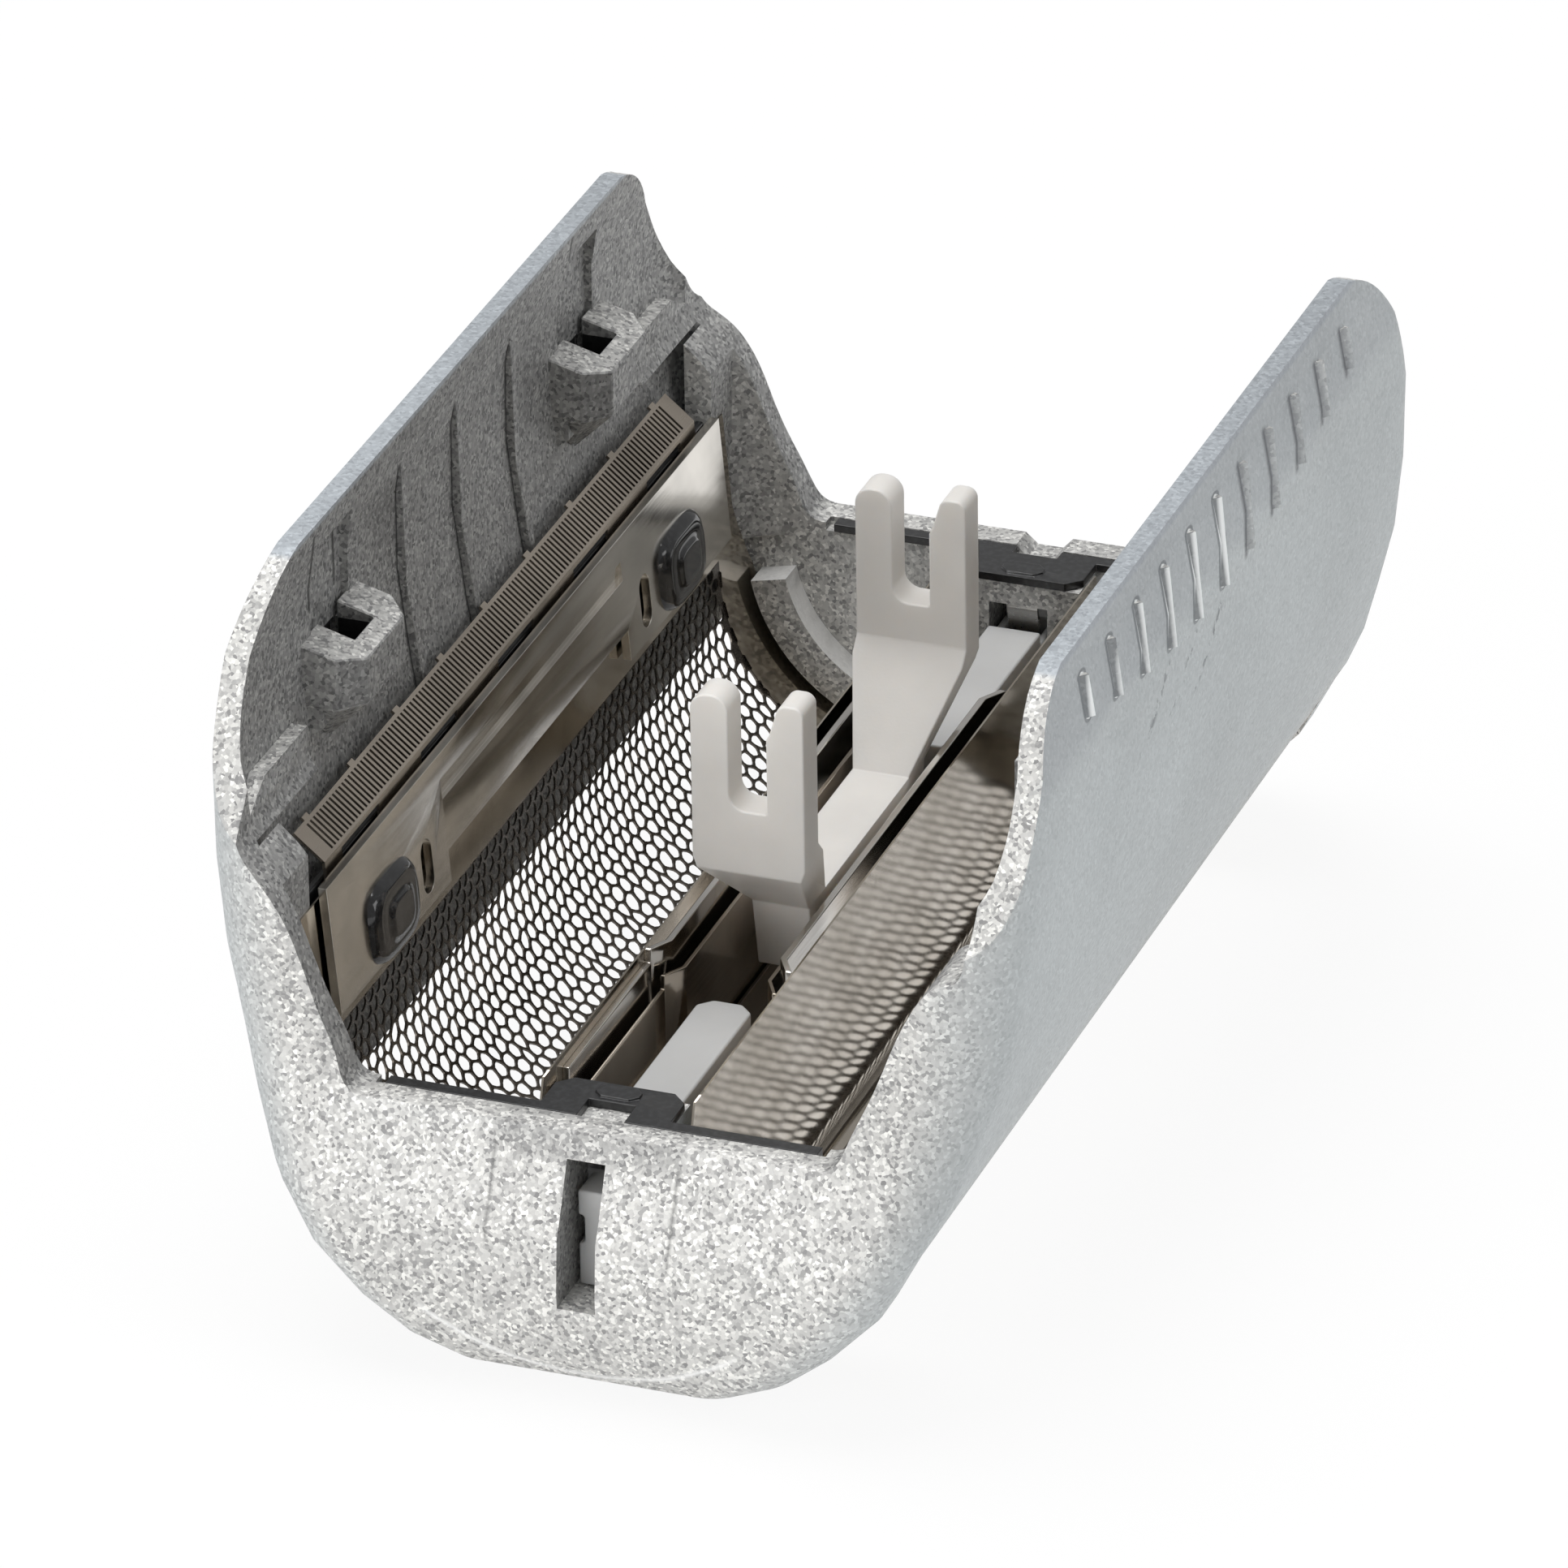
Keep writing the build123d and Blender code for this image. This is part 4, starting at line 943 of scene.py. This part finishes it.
def side_comb(name, sign):
    """The flange is two long bars with teeth between them and small nubs along its rim,
    in the sheet's own (u, y, thickness) frame, u along the flange from the fold. The leg
    is two bars with posts between its windows, in (thickness, y, z)."""
    half = comb_half_length
    count = int((2 * half - 2 * slit_end_margin) / slit_pitch)
    middle = (np.arange(count + 1) - count / 2) * slit_pitch
    tooth = (slit_pitch - slit_width) / 2
    low = [(0, -half, 0), (slit_end, -half, 0)]
    high = [(slit_start, half, comb_sheet), (flange_width, half, comb_sheet)]
    for y in middle:
        low.append((slit_start, y - tooth, 0))
        high.append((slit_end, y + tooth, comb_sheet))
    low += [(slit_start, -half, 0), (slit_start, middle[-1] + tooth, 0)]
    high += [(slit_end, middle[0] - tooth, comb_sheet), (slit_end, half, comb_sheet)]
    for y in (np.arange(nub_count) - nub_count // 2) * nub_pitch:
        low.append((flange_width, y - nub_width / 2, 0))
        high.append((flange_width + nub_reach, y + nub_width / 2, comb_sheet))
    points, faces = boxes(low, high)
    cosine, sine = math.cos(flange_slope), math.sin(flange_slope)
    x = comb_wall_x(fold_height) + points[:, 0] * cosine + points[:, 2] * sine
    z = fold_height + points[:, 0] * sine - points[:, 2] * cosine
    flange = np.stack([x, points[:, 1], z], 1)
    windows = (np.arange(window_count) - window_count // 2) * window_pitch
    window_ends = np.stack([windows - window_half, windows + window_half], 1).ravel()
    sides = np.concatenate([[-half], window_ends, [half]])
    foot = fold_height - comb_leg
    low = [(0, -half, foot), (0, -half, window_high)]
    high = [(comb_sheet, half, window_low), (comb_sheet, half, fold_height)]
    for start, stop in sides.reshape(-1, 2):
        low.append((0, start, window_low))
        high.append((comb_sheet, stop, window_high))
    points, leg_faces = boxes(low, high)
    x = comb_wall_x(points[:, 2]) + points[:, 0]
    leg = np.stack([x, points[:, 1], points[:, 2]], 1)
    verts = np.concatenate([flange, leg])
    faces = np.concatenate([faces, leg_faces + len(flange)])
    verts[:, 0] *= sign
    if sign < 0:
        faces = faces[:, ::-1]
    mesh = bpy.data.meshes.new(name)
    mesh.from_pydata((verts * MM).tolist(), [], faces.tolist())
    skin = bmesh.new()
    skin.from_mesh(mesh)
    bmesh.ops.recalc_face_normals(skin, faces=skin.faces)
    skin.to_mesh(mesh)
    skin.free()
    piece = placed(name, mesh)
    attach(piece, "head")
    return piece


comb_steel = polished_sheet("comb_steel", golden_brown, 0.20, 4000.0, 0.004 * MM)
for side, sign in (("left", -1), ("right", 1)):
    teeth = side_comb(side + "_slotted_strip", sign)
    teeth.data.materials.append(comb_steel)
    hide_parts(side + "_side_comb")

# The studio: a white floor under the object, soft white light from the front left, from
# above and from the right, and the camera where the photograph was taken from.
floor_half = 3.0
floor_drop = 0.2 * MM
floor_light = 0.9
floor_glow = 0.9
sky_seen = 0.62
sky_light = 0.38
lamp_aim = (0, 0, 0.01)

floor_mesh = bpy.data.meshes.new("studio_floor")
floor_corners = [(-1, -1), (1, -1), (1, 1), (-1, 1)]
floor_mesh.from_pydata([(floor_half * a, floor_half * b, -floor_drop) for a, b in floor_corners],
                       [], [(0, 1, 2, 3)])
floor = placed("studio_floor", floor_mesh)
floor_paint, tree, shader = new_material("studio_white")
shader.inputs["Base Color"].default_value = (floor_light, floor_light, floor_light, 1.0)
shader.inputs["Roughness"].default_value = 0.9
glow = tree.nodes.new("ShaderNodeEmission")
glow.inputs["Strength"].default_value = 1.0
rays = tree.nodes.new("ShaderNodeLightPath")
mirrored = figure(tree, "MAXIMUM", rays.outputs["Is Glossy Ray"],
                  rays.outputs["Is Transmission Ray"])
seen = figure(tree, "MAXIMUM", rays.outputs["Is Camera Ray"], mirrored)
mixer = tree.nodes.new("ShaderNodeMixShader")
tree.links.new(product(tree, seen, floor_glow), mixer.inputs[0])
tree.links.new(shader.outputs["BSDF"], mixer.inputs[1])
tree.links.new(glow.outputs[0], mixer.inputs[2])
floor_output = [node for node in tree.nodes if node.type == "OUTPUT_MATERIAL"][0]
tree.links.new(mixer.outputs[0], floor_output.inputs["Surface"])
floor_mesh.materials.append(floor_paint)

world = bpy.data.worlds.new("studio_air")
world.use_nodes = True
bpy.context.scene.world = world
air = world.node_tree
air.nodes.clear()
backdrop = air.nodes.new("ShaderNodeBackground")
backdrop.inputs["Color"].default_value = (1.0, 1.0, 1.0, 1.0)
air_rays = air.nodes.new("ShaderNodeLightPath")
strength = product(air, air_rays.outputs["Is Camera Ray"], sky_seen)
strength = figure(air, "ADD", strength, sky_light)
air.links.new(strength, backdrop.inputs["Strength"])
air_out = air.nodes.new("ShaderNodeOutputWorld")
air.links.new(backdrop.outputs[0], air_out.inputs["Surface"])


def turned(right, up, ahead, place):
    """The matrix that puts a lamp or camera at a place, looking ahead."""
    rows = [[right[k], up[k], -ahead[k], place[k]] for k in range(3)]
    return Matrix(rows + [[0, 0, 0, 1]])


def soft_box(name, place, width, height, power):
    """A rectangular lamp at a place, turned to face the object's foot."""
    lamp = bpy.data.lights.new(name, "AREA")
    lamp.shape = "RECTANGLE"
    lamp.size = width
    lamp.size_y = height
    lamp.energy = power
    holder = placed(name, lamp)
    ahead = np.array(lamp_aim, float) - np.array(place, float)
    ahead /= np.linalg.norm(ahead)
    right = np.cross(ahead, (0, 0, 1))
    right /= np.linalg.norm(right)
    up = np.cross(right, ahead)
    holder.matrix_world = turned(right, up, ahead, place)


soft_box("front_box", (-0.20, -0.38, 0.11), 0.30, 0.22, 0.85)
soft_box("top_box", (-0.06, 0.05, 0.42), 0.32, 0.32, 1.35)
soft_box("right_box", (0.40, -0.05, 0.22), 0.20, 0.26, 0.40)

view_azimuth = math.radians(20.40)
view_elevation = math.radians(27.64)
view_roll = math.radians(-0.81)
view_distance = 447.6
view_target = np.array([0, 0, 11.52])
forward = np.array([-math.sin(view_azimuth) * math.cos(view_elevation),
                    math.cos(view_azimuth) * math.cos(view_elevation),
                    -math.sin(view_elevation)])
level = np.cross(forward, (0, 0, 1))
level /= np.linalg.norm(level)
upright = np.cross(level, forward)
view_right = level * math.cos(view_roll) + upright * math.sin(view_roll)
view_up = -level * math.sin(view_roll) + upright * math.cos(view_roll)
spot = (view_target - forward * view_distance) * MM
lens = bpy.data.cameras.new("photo_camera")
lens.sensor_width = 36.0
lens.lens = 313.62
lens.shift_x = -0.0277
lens.shift_y = -0.0189
lens.clip_start = 0.01
lens.clip_end = 20.0
camera = placed("photo_camera", lens)
camera.matrix_world = turned(view_right, view_up, forward, spot)
bpy.context.scene.camera = camera
bpy.context.scene.view_settings.view_transform = "Standard"
